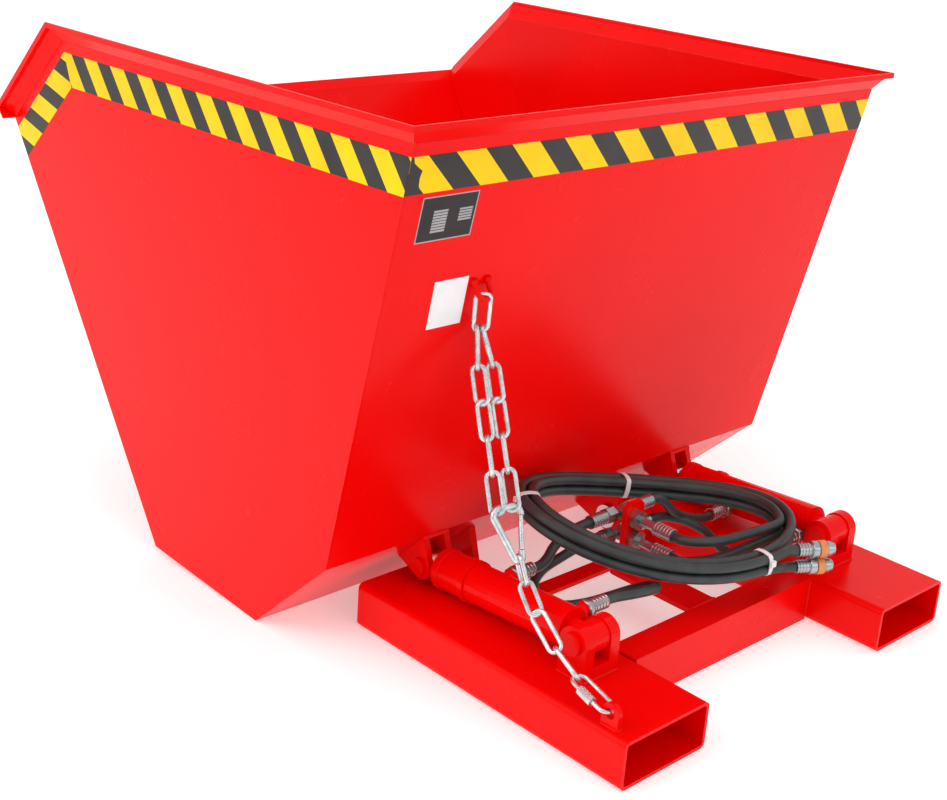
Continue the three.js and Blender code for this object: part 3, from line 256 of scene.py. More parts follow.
def round_bar(name, lines, thickness, material, closed=False):
    """A curve object of round bars: one bar along each line of points."""
    data = bpy.data.curves.new(name, "CURVE")
    data.dimensions = "3D"
    data.bevel_depth = thickness / 2
    data.bevel_resolution = bar_roundness
    data.use_fill_caps = True
    for line in lines:
        spline = data.splines.new("POLY")
        spline.points.add(len(line) - 1)
        for point, place in zip(spline.points, line):
            point.co = (*place, 1.0)
        spline.use_cyclic_u = closed
        spline.use_smooth = True
    data.materials.append(material)
    bar = bpy.data.objects.new(name, data)
    bpy.context.scene.collection.objects.link(bar)
    return bar


quarter = [at(100 * math.cos(a), 100 * math.sin(a), 0) for a in (0.0, math.pi / 4, math.pi / 2)]
print("quarter round:", round(bend_through(quarter, 5 * MM)[1] / MM, 1), "of", round(50 * math.pi, 1), "mm")

# %% [markdown]
# ## The two supply hoses
#
# Both hoses leave the bulkhead unions on the manifold plate towards the rear, turn aside and lie in
# two loops round the manifold, the upper one riding on the lower one, and end in quick couplers. A
# loop is an ellipse turned to fit between the cylinders, and its height follows what it lies on,
# highest beside the near cylinder. The route has three parts: points out of the union, which both
# hoses share but for their heights, points from the loop's formula, and points into the coupler.

# %% Route of the supply hoses
hose_thickness, hose_pitch, hose_step = 15.0, 17.0, 6.0
lower_z, upper_z = 117.0, 151.0
loop_x, loop_y, loop_z = -20.0, -284.0, 158.7
loop_long, loop_short = 211.0, 121.4
loop_turn = math.radians(-24.0)
loop_start, loop_sweep, loop_step = 165.0, 680.0, 15.0
rise_across, rise_along, rise_twice = 28.2, -12.0, 12.5
coupler_way = Vector((-0.87, 0.49, 0.0)).normalized()


def loop_point(degrees, height):
    """A point of the coil, which grows by one hose pitch in each turn."""
    angle = math.radians(degrees)
    growth = hose_pitch * ((degrees - loop_start) / 360.0 - loop_sweep / 720.0)
    p = (loop_long + growth) * math.cos(angle)
    q = (loop_short + growth) * math.sin(angle)
    rise = rise_across * math.cos(angle) + rise_along * math.sin(angle) + rise_twice * math.cos(2 * angle)
    return at(
        loop_x + math.cos(loop_turn) * p - math.sin(loop_turn) * q,
        loop_y + math.sin(loop_turn) * p + math.cos(loop_turn) * q,
        loop_z + rise + height,
    )


out_path = [(0, -240), (0, -225), (-14, -208), (-46, -192), (-90, -186), (-136, -182)]
supply_routes = {
    "lower": {
        "out": [lower_z, lower_z, 119, 122, 125, 128],
        "height": -hose_pitch / 2,
        "into": (-100, -124, 118),
        "face": (-135, -116, 113),
    },
    "upper": {
        "out": [upper_z, upper_z, 151, 150, 148, 147],
        "height": hose_pitch / 2,
        "into": (-100, -124, 139),
        "face": (-135, -116, 140),
    },
}

for name, route in supply_routes.items():
    points = [at(x, y, z) for (x, y), z in zip(out_path, route["out"])]
    loop_steps = round(loop_sweep / loop_step)
    points += [loop_point(loop_start + loop_step * k, route["height"]) for k in range(loop_steps + 1)]
    face = at(*route["face"])
    points += [at(*route["into"]), face - coupler_way * hose_thickness * MM, face]
    route["line"], route["length"] = bend_through(points, hose_step * MM)
    route["end"] = face
    route["hose"] = round_bar(f"hose_{name}_supply", [route["line"]], hose_thickness * MM, rubber)
    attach(route["hose"], "frame")
    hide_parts(f"supply_hose_{name}")
    print(name, "hose is", round(route["length"], 3), "m long")

# %% [markdown]
# ## Turned fittings
#
# A quick coupler is turned on a lathe, so it is one outline swept round an axis. `turned` does that
# for any list of (distance, diameter) pairs. Two equal distances make a square shoulder, and a
# shallow pair of steps makes a groove such as the press marks on a crimped ferrule.

# %% Lathe work
square_step = 0.01
sharp_degrees = 28.0


def as_piece(name, mesh, *materials):
    """Makes an object of the scene from a mesh that was built, with its materials in order."""
    data = bpy.data.meshes.new(name)
    mesh.to_mesh(data)
    mesh.free()
    for material in materials:
        data.materials.append(material)
    piece = bpy.data.objects.new(name, data)
    bpy.context.scene.collection.objects.link(piece)
    return piece


def ring_round(mesh, middle, way, radius, sides):
    """Corners of a circle round a middle point, square to way, with its radius in millimetres."""
    aside = way.orthogonal().normalized()
    other = way.cross(aside)
    angles = [2 * math.pi * k / sides for k in range(sides)]
    spokes = [aside * math.cos(angle) + other * math.sin(angle) for angle in angles]
    return [mesh.verts.new(middle + spoke * radius * MM) for spoke in spokes]


def quads(ring, following):
    """The four corners of each face between two rings."""
    return zip(ring, ring[1:] + ring[:1], following[1:] + following[:1], following)


def skin(mesh, rings):
    """Joins each ring to the next and closes both ends; gives the faces of each stretch."""
    stretches = []
    for ring, following in zip(rings, rings[1:]):
        stretches.append([mesh.faces.new(four) for four in quads(ring, following)])
    mesh.faces.new(list(reversed(rings[0])))
    mesh.faces.new(rings[-1])
    return stretches


def turned(name, start, way, outline, materials, sides, bands=None):
    """A solid of revolution from (distance, diameter) pairs; bands gives each stretch its material."""
    way = way.normalized()
    mesh = bmesh.new()
    rings = [ring_round(mesh, start + way * far * MM, way, wide / 2, sides) for far, wide in outline]
    for index, stretch in enumerate(skin(mesh, rings)):
        for face in stretch:
            face.smooth = abs(outline[index][0] - outline[index + 1][0]) > square_step
            face.material_index = bands[index] if bands else 0
    bmesh.ops.recalc_face_normals(mesh, faces=mesh.faces)
    for edge in mesh.edges:
        edge.smooth = len(edge.link_faces) < 2 or edge.calc_face_angle(0.0) < math.radians(sharp_degrees)
    return as_piece(name, mesh, *materials)


print("edges stay sharp from", sharp_degrees, "degrees on")

# %% [markdown]
# ## Quick couplers
#
# From the hose outward: a crimped ferrule with its press rings, a collar to hold it by, a sleeve
# with the orange ring that marks the line, and the bare plug that goes into the truck's socket.

# %% Couplers on the hoses
ferrule_lead, ferrule_slope = 0.6, 0.7
ridge_share, groove_share = 0.55, 0.3


def grooves(start, end, count, outer, inner):
    """Outline of a ferrule pressed in count rings between two distances."""
    pitch = (end - start) / count
    pairs = [(start, inner - 1.0), (start + ferrule_lead, outer)]
    for k in range(count):
        low = start + pitch * (k + ridge_share)
        high = low + pitch * groove_share
        pairs += [(low, outer), (low + ferrule_slope, inner), (high, inner), (high + ferrule_slope, outer)]
    return pairs


collar = [(21.5, 20.0), (21.5, 23.6), (22.5, 25.0), (31.0, 25.0), (32.0, 23.6), (32.0, 20.0)]
sleeve_ring = [(33.0, 20.0), (33.0, 25.4), (33.6, 26.0), (43.4, 26.0), (44.0, 25.4)]
plug = [(44.0, 21.0), (46.0, 21.0), (46.0, 22.0), (52.0, 22.0), (52.6, 18.0), (57.0, 18.0), (58.0, 16.5)]
coupler_outline = grooves(0.3, 20.0, 4, 20.0, 18.4) + collar
ring_from = len(coupler_outline)
ring_to = ring_from + len(sleeve_ring) - 1
coupler_outline += sleeve_ring + plug
coupler_bands = [1 if ring_from <= k < ring_to else 0 for k in range(len(coupler_outline) - 1)]

for name, route in supply_routes.items():
    coupler = turned(
        f"coupler_{name}", route["end"], coupler_way, coupler_outline, [plated, orange], 36, coupler_bands
    )
    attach(coupler, "frame")
    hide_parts(f"quick_coupler_{name}")
    route["coupler"] = coupler
print("coupler length", coupler_outline[-1][0], "mm")

# %% [markdown]
# ## How a cable tie is made
#
# A tie is drawn through its own head and cut off, so it is a flat band bent round the bundle, with
# a square head that is hollow where the tail went through. Four hoses in a square pull the band to
# a rounded square. Both parts are built with the bundle's middle as the origin.

# %% Band and head of a tie
bundle = hose_pitch / 2 + hose_thickness / 2
tie_width, tie_thickness, tie_slack = 7.6, 1.9, 0.3
tie_steps, tie_squareness = 32, 0.55
head_size, head_wall, head_hollow = (5.0, 9.6, 9.0), 1.4, 1.2
head_gap, head_height = 1.6, 5.0


def tie_band(mesh):
    """Adds the band: a squareness of 0 would bend it to a circle, and one of 1 to a square."""
    rings = []
    for k in range(tie_steps):
        angle = 2 * math.pi * (k + 0.5) / tie_steps
        square = max(abs(math.cos(angle)), abs(math.sin(angle))) ** tie_squareness
        ring = []
        for depth, side in ((tie_slack, -1), (tie_slack, 1), (tie_thickness, 1), (tie_thickness, -1)):
            radius = (bundle + depth) / square
            place = (radius * math.cos(angle), side * tie_width / 2, radius * math.sin(angle))
            ring.append(mesh.verts.new(Vector(place) * MM))
        rings.append(ring)
    for ring, following in zip(rings, rings[1:] + rings[:1]):
        for four in quads(ring, following):
            mesh.faces.new(four)


def tie_head(mesh):
    """Adds the head, hollow on top, outside the band."""
    band = set(mesh.verts)
    block = bmesh.ops.create_cube(mesh, size=1.0)["verts"]
    bmesh.ops.scale(mesh, vec=[size * MM for size in head_size], verts=block)
    top = [face for face in mesh.faces if face.normal.z > 0.9 and face.verts[0] not in band]
    bmesh.ops.inset_region(mesh, faces=top, thickness=head_wall * MM, depth=-head_hollow * MM)
    head = [corner for corner in mesh.verts if corner not in band]
    shift = ((bundle + tie_thickness + head_gap) * MM, 0.0, head_height * MM)
    bmesh.ops.translate(mesh, vec=shift, verts=head)


def soften(piece, width):
    """Rounds a piece's edges over a width in millimetres."""
    edges = piece.modifiers.new("soft edges", "BEVEL")
    edges.width = width * MM
    edges.segments = 2


print("bundle half width", bundle, "mm")

# %% [markdown]
# ## Three ties round the coil
#
# Three nylon ties bind the two turns of both hoses into one bundle. Each is turned so that its band
# stands square to the hoses: along them, outward from the coil, and up.

# %% Cable ties
for number, degrees in ((1, 272), (2, 358), (3, 482)):
    centre = (loop_point(degrees, 0.0) + loop_point(degrees + 360, 0.0)) / 2
    along = (loop_point(degrees + 1, 0.0) - loop_point(degrees - 1, 0.0)).normalized()
    outward = along.cross(Vector((0.0, 0.0, 1.0))).normalized()
    up = outward.cross(along).normalized()
    turn = Matrix((outward, along, up)).transposed().to_4x4()
    mesh = bmesh.new()
    tie_band(mesh)
    tie_head(mesh)
    bmesh.ops.transform(mesh, matrix=Matrix.Translation(centre) @ turn, verts=mesh.verts)
    bmesh.ops.recalc_face_normals(mesh, faces=mesh.faces)
    tie = as_piece(f"tie_{number}", mesh, nylon)
    soften(tie, width=0.4)
    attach(tie, "frame")
    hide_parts(f"cable_tie_{number}")

# %% [markdown]
# ## Counting the hoses
#
# The three cable ties hold both hoses; this cell only counts the supply hoses.

# %% Cords
print("cords:", len(supply_routes))

# %% [markdown]
# ## Where a cylinder's ports are
#
# Both cylinders lie slanting between a clevis pin on the pocket and a pin on the bucket.
# `on_cylinder` gives places beside them as a fitter would: so far along from the rear pin, and so
# far above the middle line.

# %% Places on a cylinder
cylinder_x, barrel_radius = 273.0, 29.0
pin_y, pin_z = -150.0, 120.0
rod_pin_y, rod_pin_z = -460.0, 100.0
pin_gap = math.hypot(rod_pin_y - pin_y, rod_pin_z - pin_z)
cylinder_y, cylinder_z = (rod_pin_y - pin_y) / pin_gap, (rod_pin_z - pin_z) / pin_gap


def on_cylinder(x, station, height):
    """A place beside a cylinder: station along it from the rear pin, height square to it."""
    y = pin_y + cylinder_y * station + cylinder_z * height
    z = pin_z + cylinder_z * station - cylinder_y * height
    return (x, y, z)


print("pins are", round(pin_gap, 1), "mm apart")

# %% [markdown]
# ## Hoses to the cylinders
#
# Four short hoses join the tees to the cylinders' ports: the lower tee feeds both rear ports, the
# upper one both front ports. They are held at both ends, so their shape is set by the fittings: each
# leaves straight, bows out through listed points and comes back straight.

# %% Four short hoses
tee_face, tee_y = 68.3, -345.0
port_face, rear_port, front_port = 201.7, 40.0, 178.0
left_height, right_height = 14.0, -12.0
stub, short_step = hose_thickness, 5.0
short_routes = {
    ("left", "rear"): [
        (118, -349, 108), (158, -350, 97), (192, -332, 91), (208, -300, 89), (200, -270, 89),
        (172, -252, 91), (135, -240, 95), (100, -226, 102), (84, -208, 110), (92, -190, 118),
        (118, -182, 125), (150, -184, 129),
    ],
    ("left", "front"): [(112, -346, 146), (142, -344, 134), (166, -334, 126)],
    ("right", "rear"): [
        (-114, -346, 110), (-142, -330, 102), (-152, -300, 95), (-144, -270, 90), (-132, -244, 89),
        (-136, -218, 92), (-152, -202, 98), (-172, -194, 103),
    ],
    ("right", "front"): [(-100, -342, 141), (-119, -338, 122), (-146, -336, 106), (-172, -330, 98)],
}
for (hand, port), bow in short_routes.items():
    name = f"{hand}_{port}"
    side, height = (1, left_height) if hand == "left" else (-1, right_height)
    z, station = (lower_z, rear_port) if port == "rear" else (upper_z, front_port)
    out_of_tee = [(side * tee_face, tee_y, z), (side * (tee_face + stub), tee_y, z)]
    into_port = [on_cylinder(side * x, station, height) for x in (port_face - stub, port_face)]
    line, length = bend_through([at(*place) for place in out_of_tee + bow + into_port], short_step * MM)
    hose = round_bar(f"hose_{name}_cylinder", [line], hose_thickness * MM, rubber)
    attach(hose, "frame")
    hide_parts(f"cylinder_hose_{name}")
    print(name, round(length, 3), "m")

# %% [markdown]
# ## Paint and metal on the solids
#
# The welded parts are powder coated in one colour after welding. The rods and hinge pins stay
# bright because paint on a sliding face would be scraped into the seals. Fittings are zinc plated
# and the chain is hot-dip galvanised. The steel parts come straight from the frame: only their
# material is set.

# %% Finishes of the solids
slot_finish = {
    "paint": paint,
    "bright_steel": chrome,
    "zinc": zinc,
    "fitting": plated,
    "hose": rubber,
    "nylon": nylon,
}
for part in frame["record"]["subparts"]:
    for holder in nodes[part["node"]].material_slots:
        holder.material = slot_finish[part["material_slot"]]

# %% [markdown]
# ## Fittings in the cylinders' ports
#
# The hose ends are screwed into bosses that were painted with the barrel, but the nuts and ferrules
# themselves are plated. In the frame they are one piece with the barrel, so plated sleeves go over
# them: a chamfered nut and a ferrule with its press rings.

# %% Port nuts and ferrules
barrel_skin = cylinder_x - barrel_radius
nut_outline = [(0.4, 28.0), (1.4, 30.0), (10.6, 30.0), (11.6, 28.0)]
nut_end = nut_outline[-1][0]
ferrule_outline = grooves(nut_end, 41.8, 5, 21.0, 19.6)
port_fittings = []
for side, name, height in ((1, "left", left_height), (-1, "right", right_height)):
    inward = Vector((-side, 0.0, 0.0))
    for station, place in ((rear_port, "rear"), (front_port, "front")):
        start = at(*on_cylinder(side * barrel_skin, station, height))
        for piece, outline, sides in (("nut", nut_outline, 6), ("ferrule", ferrule_outline, 32)):
            fitting = turned(f"port_{piece}_{name}_{place}", start, inward, outline, [plated], sides)
            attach(fitting, f"barrel_{name}")
            port_fittings.append(fitting)
print("port fittings:", len(port_fittings))

# %% [markdown]
# ## Ferrules at the manifold
#
# The same press rings show on the hose ends at the manifold: one on the rear side of each bulkhead
# union, and one on each arm of the two tees.

# %% Manifold ferrules
hose_end_outline = grooves(0.2, 33.8, 6, 21.0, 19.6)
union_start, tee_arm = -274.3, 34.2
manifold_ferrules = []
for name, z in (("lower", lower_z), ("upper", upper_z)):
    for place, start, way in (
        ("union", at(0.0, union_start, z), (0.0, 1.0, 0.0)),
        ("left", at(tee_arm, tee_y, z), (1.0, 0.0, 0.0)),
        ("right", at(-tee_arm, tee_y, z), (-1.0, 0.0, 0.0)),
    ):
        ferrule = turned(f"ferrule_{place}_{name}", start, Vector(way), hose_end_outline, [plated], 32)
        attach(ferrule, "frame")
        manifold_ferrules.append(ferrule)
print("manifold ferrules:", len(manifold_ferrules))

# %% [markdown]
# ## Flat bars of the frame
#
# Seen through the frame, the floor shows all round the manifold. So it stands on a flat tongue,
# welded to the rear cross member, and the pockets' front bar lies flat near the ground. Both are cut
# from plate, so an outline is given a thickness and its edges are softened. `arc` gives the points
# of a rounded corner.

# %% Tongue and front bar
def arc(across, along, radius, first, sweep=90.0, steps=6):
    """Points on an arc round a centre, as pairs, from the angle first on, in degrees."""
    angles = [math.radians(first + sweep * k / steps) for k in range(steps + 1)]
    return [(across + radius * math.cos(angle), along + radius * math.sin(angle)) for angle in angles]


def from_plate(name, outline, low, high):
    """A red plate with the given outline of (x, y) corners, from one height to another."""
    mesh = bmesh.new()
    bottom = mesh.faces.new([mesh.verts.new(at(x, y, low)) for x, y in outline])
    top = bmesh.ops.extrude_face_region(mesh, geom=[bottom])["geom"]
    raised = [part for part in top if isinstance(part, bmesh.types.BMVert)]
    bmesh.ops.translate(mesh, vec=(0.0, 0.0, (high - low) * MM), verts=raised)
    bmesh.ops.recalc_face_normals(mesh, faces=mesh.faces)
    piece = as_piece(name, mesh, paint)
    soften(piece, width=0.8)
    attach(piece, "frame")
    return piece


tongue_half, tongue_front, tongue_rear, tongue_round = 28.0, -338.0, -174.3, 14.0
tongue_low, tongue_high = 61.0, 70.0
tongue_outline = [(tongue_half, tongue_rear), (-tongue_half, tongue_rear)]
for side, first in ((-1, 180.0), (1, 270.0)):
    corner_x, corner_y = side * (tongue_half - tongue_round), tongue_front + tongue_round
    tongue_outline += arc(corner_x, corner_y, tongue_round, first)
tongue = from_plate("manifold_tongue", tongue_outline, tongue_low, tongue_high)
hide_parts("middle_beam")

bar_half, bar_front, bar_rear, bar_cut = 199.7, -440.0, -410.0, 6.0
bar_low, bar_high = 0.5, 8.5
bar_outline = [(bar_half, bar_rear), (-bar_half, bar_rear)]
bar_outline += [(-bar_half, bar_front + bar_cut), (-bar_half + bar_cut, bar_front)]
bar_outline += [(bar_half - bar_cut, bar_front), (bar_half, bar_front + bar_cut)]
front_bar = from_plate("front_tie_bar", bar_outline, bar_low, bar_high)
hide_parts("front_cross_member")
print("tongue length", round(tongue_rear - tongue_front, 1), "mm")

# %% [markdown]
# ## Barrel fronts
#
# The photographed barrel runs on under the bucket, so that hardly any rod shows while the bucket is
# down. Each barrel gets a front sleeve over its end, with the raised ring of the wiper's housing. It
# stops just short of the rod's eye.

# %% Barrel fronts
sleeve_station = 216.0
sleeve_outline = [(0.0, 58.2), (0.5, 58.8), (52.0, 58.8)]
sleeve_outline += [(52.0, 61.0), (52.8, 62.0), (64.2, 62.0), (65.0, 61.0)]
sleeve_way = Vector((0.0, cylinder_y, cylinder_z))
for side, name in ((1, "left"), (-1, "right")):
    start = at(*on_cylinder(side * cylinder_x, sleeve_station, 0.0))
    sleeve = turned(f"barrel_front_{name}", start, sleeve_way, sleeve_outline, [paint], 48)
    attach(sleeve, f"barrel_{name}")
print("barrel front length", sleeve_outline[-1][0], "mm")

# %% [markdown]
# ## The safety chain
#
# The chain hangs from a staple on the rear wall and ends at a lug on the pocket. It keeps the bucket
# from tipping by itself while the truck drives. A link is a bar bent to two half rounds, so one
# outline, turned about the run of the chain, gives every link of a run. A run is told by the joints
# between its links and by each link's turn.

# %% Outlines of links
chain_wire, link_width, link_bite = 6.2, 24.0, 2.8
hook_wire = 9.6
over_link, over_hook = chain_wire, (chain_wire + hook_wire) / 2
x_axis = Vector((1.0, 0.0, 0.0))


def half_rounds(length, width, steps=9):
    """Centre line of a link with straight sides, as (across, along) pairs."""
    radius = width / 2
    angles = [math.pi * k / steps for k in range(steps + 1)]
    pairs = [(-radius * math.cos(angle), radius - radius * math.sin(angle)) for angle in angles]
    pairs += [(radius * math.cos(angle), length - radius + radius * math.sin(angle)) for angle in angles]
    return pairs


def hang(start, end, turn_degrees=0.0):
    """The along and across directions of a flat ring that hangs from start to end."""
    along = (end - start).normalized()
    across = (x_axis - along * along.dot(x_axis)).normalized()
    if turn_degrees:
        across = Matrix.Rotation(math.radians(turn_degrees), 3, along) @ across
    return along, across


def lay_out(pairs, start, along, across):
    """Places the (across, along) pairs, in millimetres, as points of the model."""
    return [start + across * a * MM + along * d * MM for a, d in pairs]


def chain_run(joints, turns, first_bite, last_bite):
    """Centre lines of the links of a run, whose first and last joints are the bars that hold it."""
    lines = []
    for k, turn_degrees in enumerate(turns):
        along, across = hang(joints[k], joints[k + 1], turn_degrees)
        start = joints[k] - along * (first_bite if k == 0 else link_bite) * MM
        end = joints[k + 1] + along * (last_bite if k == len(turns) - 1 else link_bite) * MM
        pairs = half_rounds((end - start).length / MM, link_width - chain_wire)
        lines.append(lay_out(pairs, start, along, across))
    return lines


print("a link is open", round(link_width - 2 * chain_wire, 1), "mm wide")

# %% [markdown]
# ## Staple
#
# The staple is a round bar bent to a U, welded to the rear wall and painted with it. It is bent
# down, the way the chain pulls, so its points lie in a plane that droops from the wall.

# %% Staple
heel_y, heel_z = -457.0, 148.0
wall_lean = math.radians(12.5)


def wall_y(z):
    """The rear wall's outer face at a height."""
    return heel_y + (z - heel_z) * math.tan(wall_lean)


staple_x, staple_z, staple_radius, staple_wire = 308.0, 556.0, 12.0, 8.0
staple_foot, staple_leg, staple_steps = 0.3, 14.5, 16
staple_droop = math.radians(56.0)
staple_wall = wall_y(staple_z)


def staple_point(across, out):
    """A point of the staple's plane, which hangs down from the wall."""
    y = staple_wall + out * math.cos(staple_droop)
    return at(staple_x + across, y, staple_z - out * math.sin(staple_droop))


staple_line = [staple_point(-staple_radius, staple_foot)]
for k in range(staple_steps + 1):
    angle = math.pi * k / staple_steps
    out = staple_leg + staple_radius * math.sin(angle)
    staple_line.append(staple_point(-staple_radius * math.cos(angle), out))
staple_line.append(staple_point(staple_radius, staple_foot))
staple = round_bar("staple_bar", [staple_line], staple_wire * MM, paint)
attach(staple, "bucket")
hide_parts("chain_staple")
print("staple stands out", round(staple_leg + staple_radius, 1), "mm")

# %% [markdown]
# ## Top link
#
# A wide link hangs in the staple and holds the two strands side by side. Its ends are nearly
# straight, so its line is an arc in each of four corners.

# %% Top link
top_start, top_end = at(311, -355, 541), at(309, -359, 490)
top_width, top_corner, top_turn = 26.0, 7.0, 30
top_along, top_across = hang(top_start, top_end, top_turn)
top_length = (top_end - top_start).length / MM
corner_x = (top_width - chain_wire) / 2 - top_corner
top_pairs = arc(-corner_x, top_corner, top_corner, 180.0) + arc(corner_x, top_corner, top_corner, 270.0)
top_pairs += arc(corner_x, top_length - top_corner, top_corner, 0.0)
top_pairs += arc(-corner_x, top_length - top_corner, top_corner, 90.0)
top_line = lay_out(top_pairs, top_start, top_along, top_across)
top_link = round_bar("top_link_bar", [top_line], chain_wire * MM, zinc, closed=True)
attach(top_link, "chain_upper")
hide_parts("chain_top_link")
print("top link length", round(top_length, 1), "mm")

# %% [markdown]
# ## Snap hook
#
# The hook is one pear-shaped bar, open on one side, and a sprung gate closes the opening. The
# strands lie in its wide end and the lower run in its narrow end, which is why it can't slip round.
# The bar stops a hair before both ends of the gate, which leaves it free to turn.

# %% Snap hook and gate
hook_top, hook_end = at(317, -281, 268), at(322, -242, 206)
hook_wide, hook_narrow, hook_corner, hook_steps = 48.0, 15.0, 11.0, 10
hook_along, hook_across = hang(hook_top, hook_end)
hook_length = (hook_end - hook_top).length / MM
shoulder, toe = hook_wide / 2 - hook_corner, hook_narrow / 2
hook_pairs = arc(-shoulder, hook_corner, hook_corner, 180.0, 90.0, hook_steps)
hook_pairs += arc(shoulder, hook_corner, hook_corner, 270.0, 90.0, hook_steps)
hook_pairs += arc(0.0, hook_length - toe, toe, 0.0, 180.0, hook_steps)

gate_wire, gate_starts, gate_ends = 7.0, 0.08, 0.88
play_top, play_low = 0.8, 1.8
gate_top, gate_low = Vector(hook_pairs[0]), Vector(hook_pairs[-1])
gate_way = (gate_low - gate_top).normalized()
gate_from, gate_to = gate_top.lerp(gate_low, gate_starts), gate_top.lerp(gate_low, gate_ends)
hook_pairs = [tuple(gate_from - gate_way * play_top), *hook_pairs, tuple(gate_to + gate_way * play_low)]
hook_line = lay_out(hook_pairs, hook_top, hook_along, hook_across)
hook_bar = round_bar("hook_bar", [hook_line], hook_wire * MM, zinc)
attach(hook_bar, "chain_upper")
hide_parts("snap_hook")

gate_line = lay_out([tuple(gate_from), tuple(gate_to)], hook_top, hook_along, hook_across)
gate_bar = round_bar("gate_bar", [gate_line], gate_wire * MM, zinc)
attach(gate_bar, "gate")
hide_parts("snap_hook_gate")
print("gate length", round((gate_to - gate_from).length, 1), "mm")

# %% [markdown]
# ## Strands and lower run
#
# Two strands of five links spread from the top link to the hook's wide end, and four links run on
# from its narrow end to the quick link. The links of a strand hang loosely, so each is turned
# against the one before it, and the turns are chosen as in the photo.

# %% Strands
strand_turns = [135, 60, 15, 135, 45]
half_top, half_fork, half_hook = 5, 13, 14
below_fork = len(strand_turns) - 1
for side, name in ((1, "left"), (-1, "right")):
    start = top_end + hook_across * side * half_top * MM
    end = hook_top + hook_across * side * half_hook * MM
    fork = top_end.lerp(hook_top, 1 / len(strand_turns)) + hook_across * side * half_fork * MM
    joints = [start, fork, *[fork.lerp(end, k / below_fork) for k in range(1, below_fork)], end]
    lines = chain_run(joints, strand_turns, over_link, over_hook)
    links = round_bar(f"links_{name}_strand", lines, chain_wire * MM, zinc, closed=True)
    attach(links, "chain_upper")
    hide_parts(f"chain_strand_{name}")

quick_start, quick_end = at(338, -112, 102), at(349, -40, 90)
lower_joints = [hook_end, at(323, -228, 180), at(327, -199, 150), at(334, -152, 120), quick_start]
lower_turns = [110, 30, 50, 135]
lower_lines = chain_run(lower_joints, lower_turns, over_hook, over_link)
lower_run = round_bar("links_lower_run", lower_lines, chain_wire * MM, zinc, closed=True)
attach(lower_run, "chain_lower")
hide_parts("chain_lower_strand")
print("links:", 2 * len(strand_turns) + len(lower_turns))

# %% [markdown]
# ## Quick link
#
# A quick link is a long ring with a gap in one side, closed by a nut that screws across it. The
# bar is drawn open so that the gap shows when the nut runs back. Its line starts below the gap,
# goes round both ends and comes back to it from above.

# %% Quick link
quick_along, quick_across = hang(quick_start, quick_end)
quick_half, quick_wire = 11.5, 5.5
gap_middle, gap_half = 36.5, 5.0
quick_length = (quick_end - quick_start).length / MM
quick_ring = half_rounds(quick_length, 2 * quick_half)
arc_points = len(quick_ring) // 2
first_arc, second_arc = quick_ring[:arc_points], quick_ring[arc_points:]
below_gap, above_gap = (quick_half, gap_middle + gap_half), (quick_half, gap_middle - gap_half)
quick_pairs = [below_gap, *second_arc, *first_arc, above_gap]
quick_line = lay_out(quick_pairs, quick_start, quick_along, quick_across)
quick_bar = round_bar("quick_link_bar", [quick_line], quick_wire * MM, zinc)
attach(quick_bar, "chain_lower")
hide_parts("quick_link")
print("quick link length", round(quick_length, 1), "mm")

# %% [markdown]
# ## Flat things stuck to a wall
#
# Tape and labels are thin films. `film` lays coloured polygons on a plane as if on paper: the plane
# has an origin, a direction to the right, one down and one out of the wall. The film is given a
# real thickness and is lifted a hair off the paint. `clip` cuts a polygon off at the film's edge.

# %% Films
film_thickness, film_lift, second_lift = 0.25, 0.15, 0.45
same_corner = 0.01


def film(name, origin, right, down, out, patches, materials, lift=film_lift):
    """Patches are (material number, [(right, down), ...] in millimetres) pairs on one plane."""
    mesh = bmesh.new()
    for number, outline in patches:
        corners = [mesh.verts.new(origin + (right * u + down * v + out * lift) * MM) for u, v in outline]
        mesh.faces.new(corners).material_index = number
    bmesh.ops.remove_doubles(mesh, verts=mesh.verts, dist=same_corner * MM)
    for face in mesh.faces:
        face.normal_update()
        if face.normal.dot(out) < 0:
            face.normal_flip()
    piece = as_piece(name, mesh, *materials)
    shell = piece.modifiers.new("thickness", "SOLIDIFY")
    shell.thickness = film_thickness * MM
    shell.offset = 1.0
    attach(piece, "bucket")


def clip(outline, corners):
    """The part of a polygon inside a convex one, whose corners run from right to down."""
    for (ax, ay), (bx, by) in zip(corners, corners[1:] + corners[:1]):
        kept = []
        for (px, py), (qx, qy) in zip(outline, outline[1:] + outline[:1]):
            p_in = (bx - ax) * (py - ay) - (by - ay) * (px - ax)
            q_in = (bx - ax) * (qy - ay) - (by - ay) * (qx - ax)
            if p_in >= 0:
                kept.append((px, py))
            if (p_in >= 0) != (q_in >= 0):
                share = p_in / (p_in - q_in)
                kept.append((px + (qx - px) * share, py + (qy - py) * share))
        outline = kept
        if len(outline) < 3:
            return []
    return outline


print("films are", film_thickness, "mm thick")

# %% [markdown]
# ## Hazard tape
#
# The tape is 50 mm wide, yellow and black, with slanting stripes, and runs under the rim where
# people walk past. A stripe is a slanting strip cut off by the tape's own outline, so each run needs
# its outline, the place of its first black stripe, the pitch, the black width and the slant.

# %% Stripes on the rear wall
tape_width = 50.0
stripe_numbers = range(-3, 15)


def stripes(corners, first, pitch, dark, slant):
    """Yellow (0) and black (1) patches inside the corners; a black one starts at first on top."""
    patches = []
    for k in stripe_numbers:
        left = first + pitch * k
        for number, low, high in ((1, left, left + dark), (0, left + dark, left + pitch)):
            strip = [(low, 0.0), (high, 0.0), (high + slant, tape_width), (low + slant, tape_width)]
            inside = clip(strip, corners)
            if inside:
                patches.append((number, inside))
    return patches


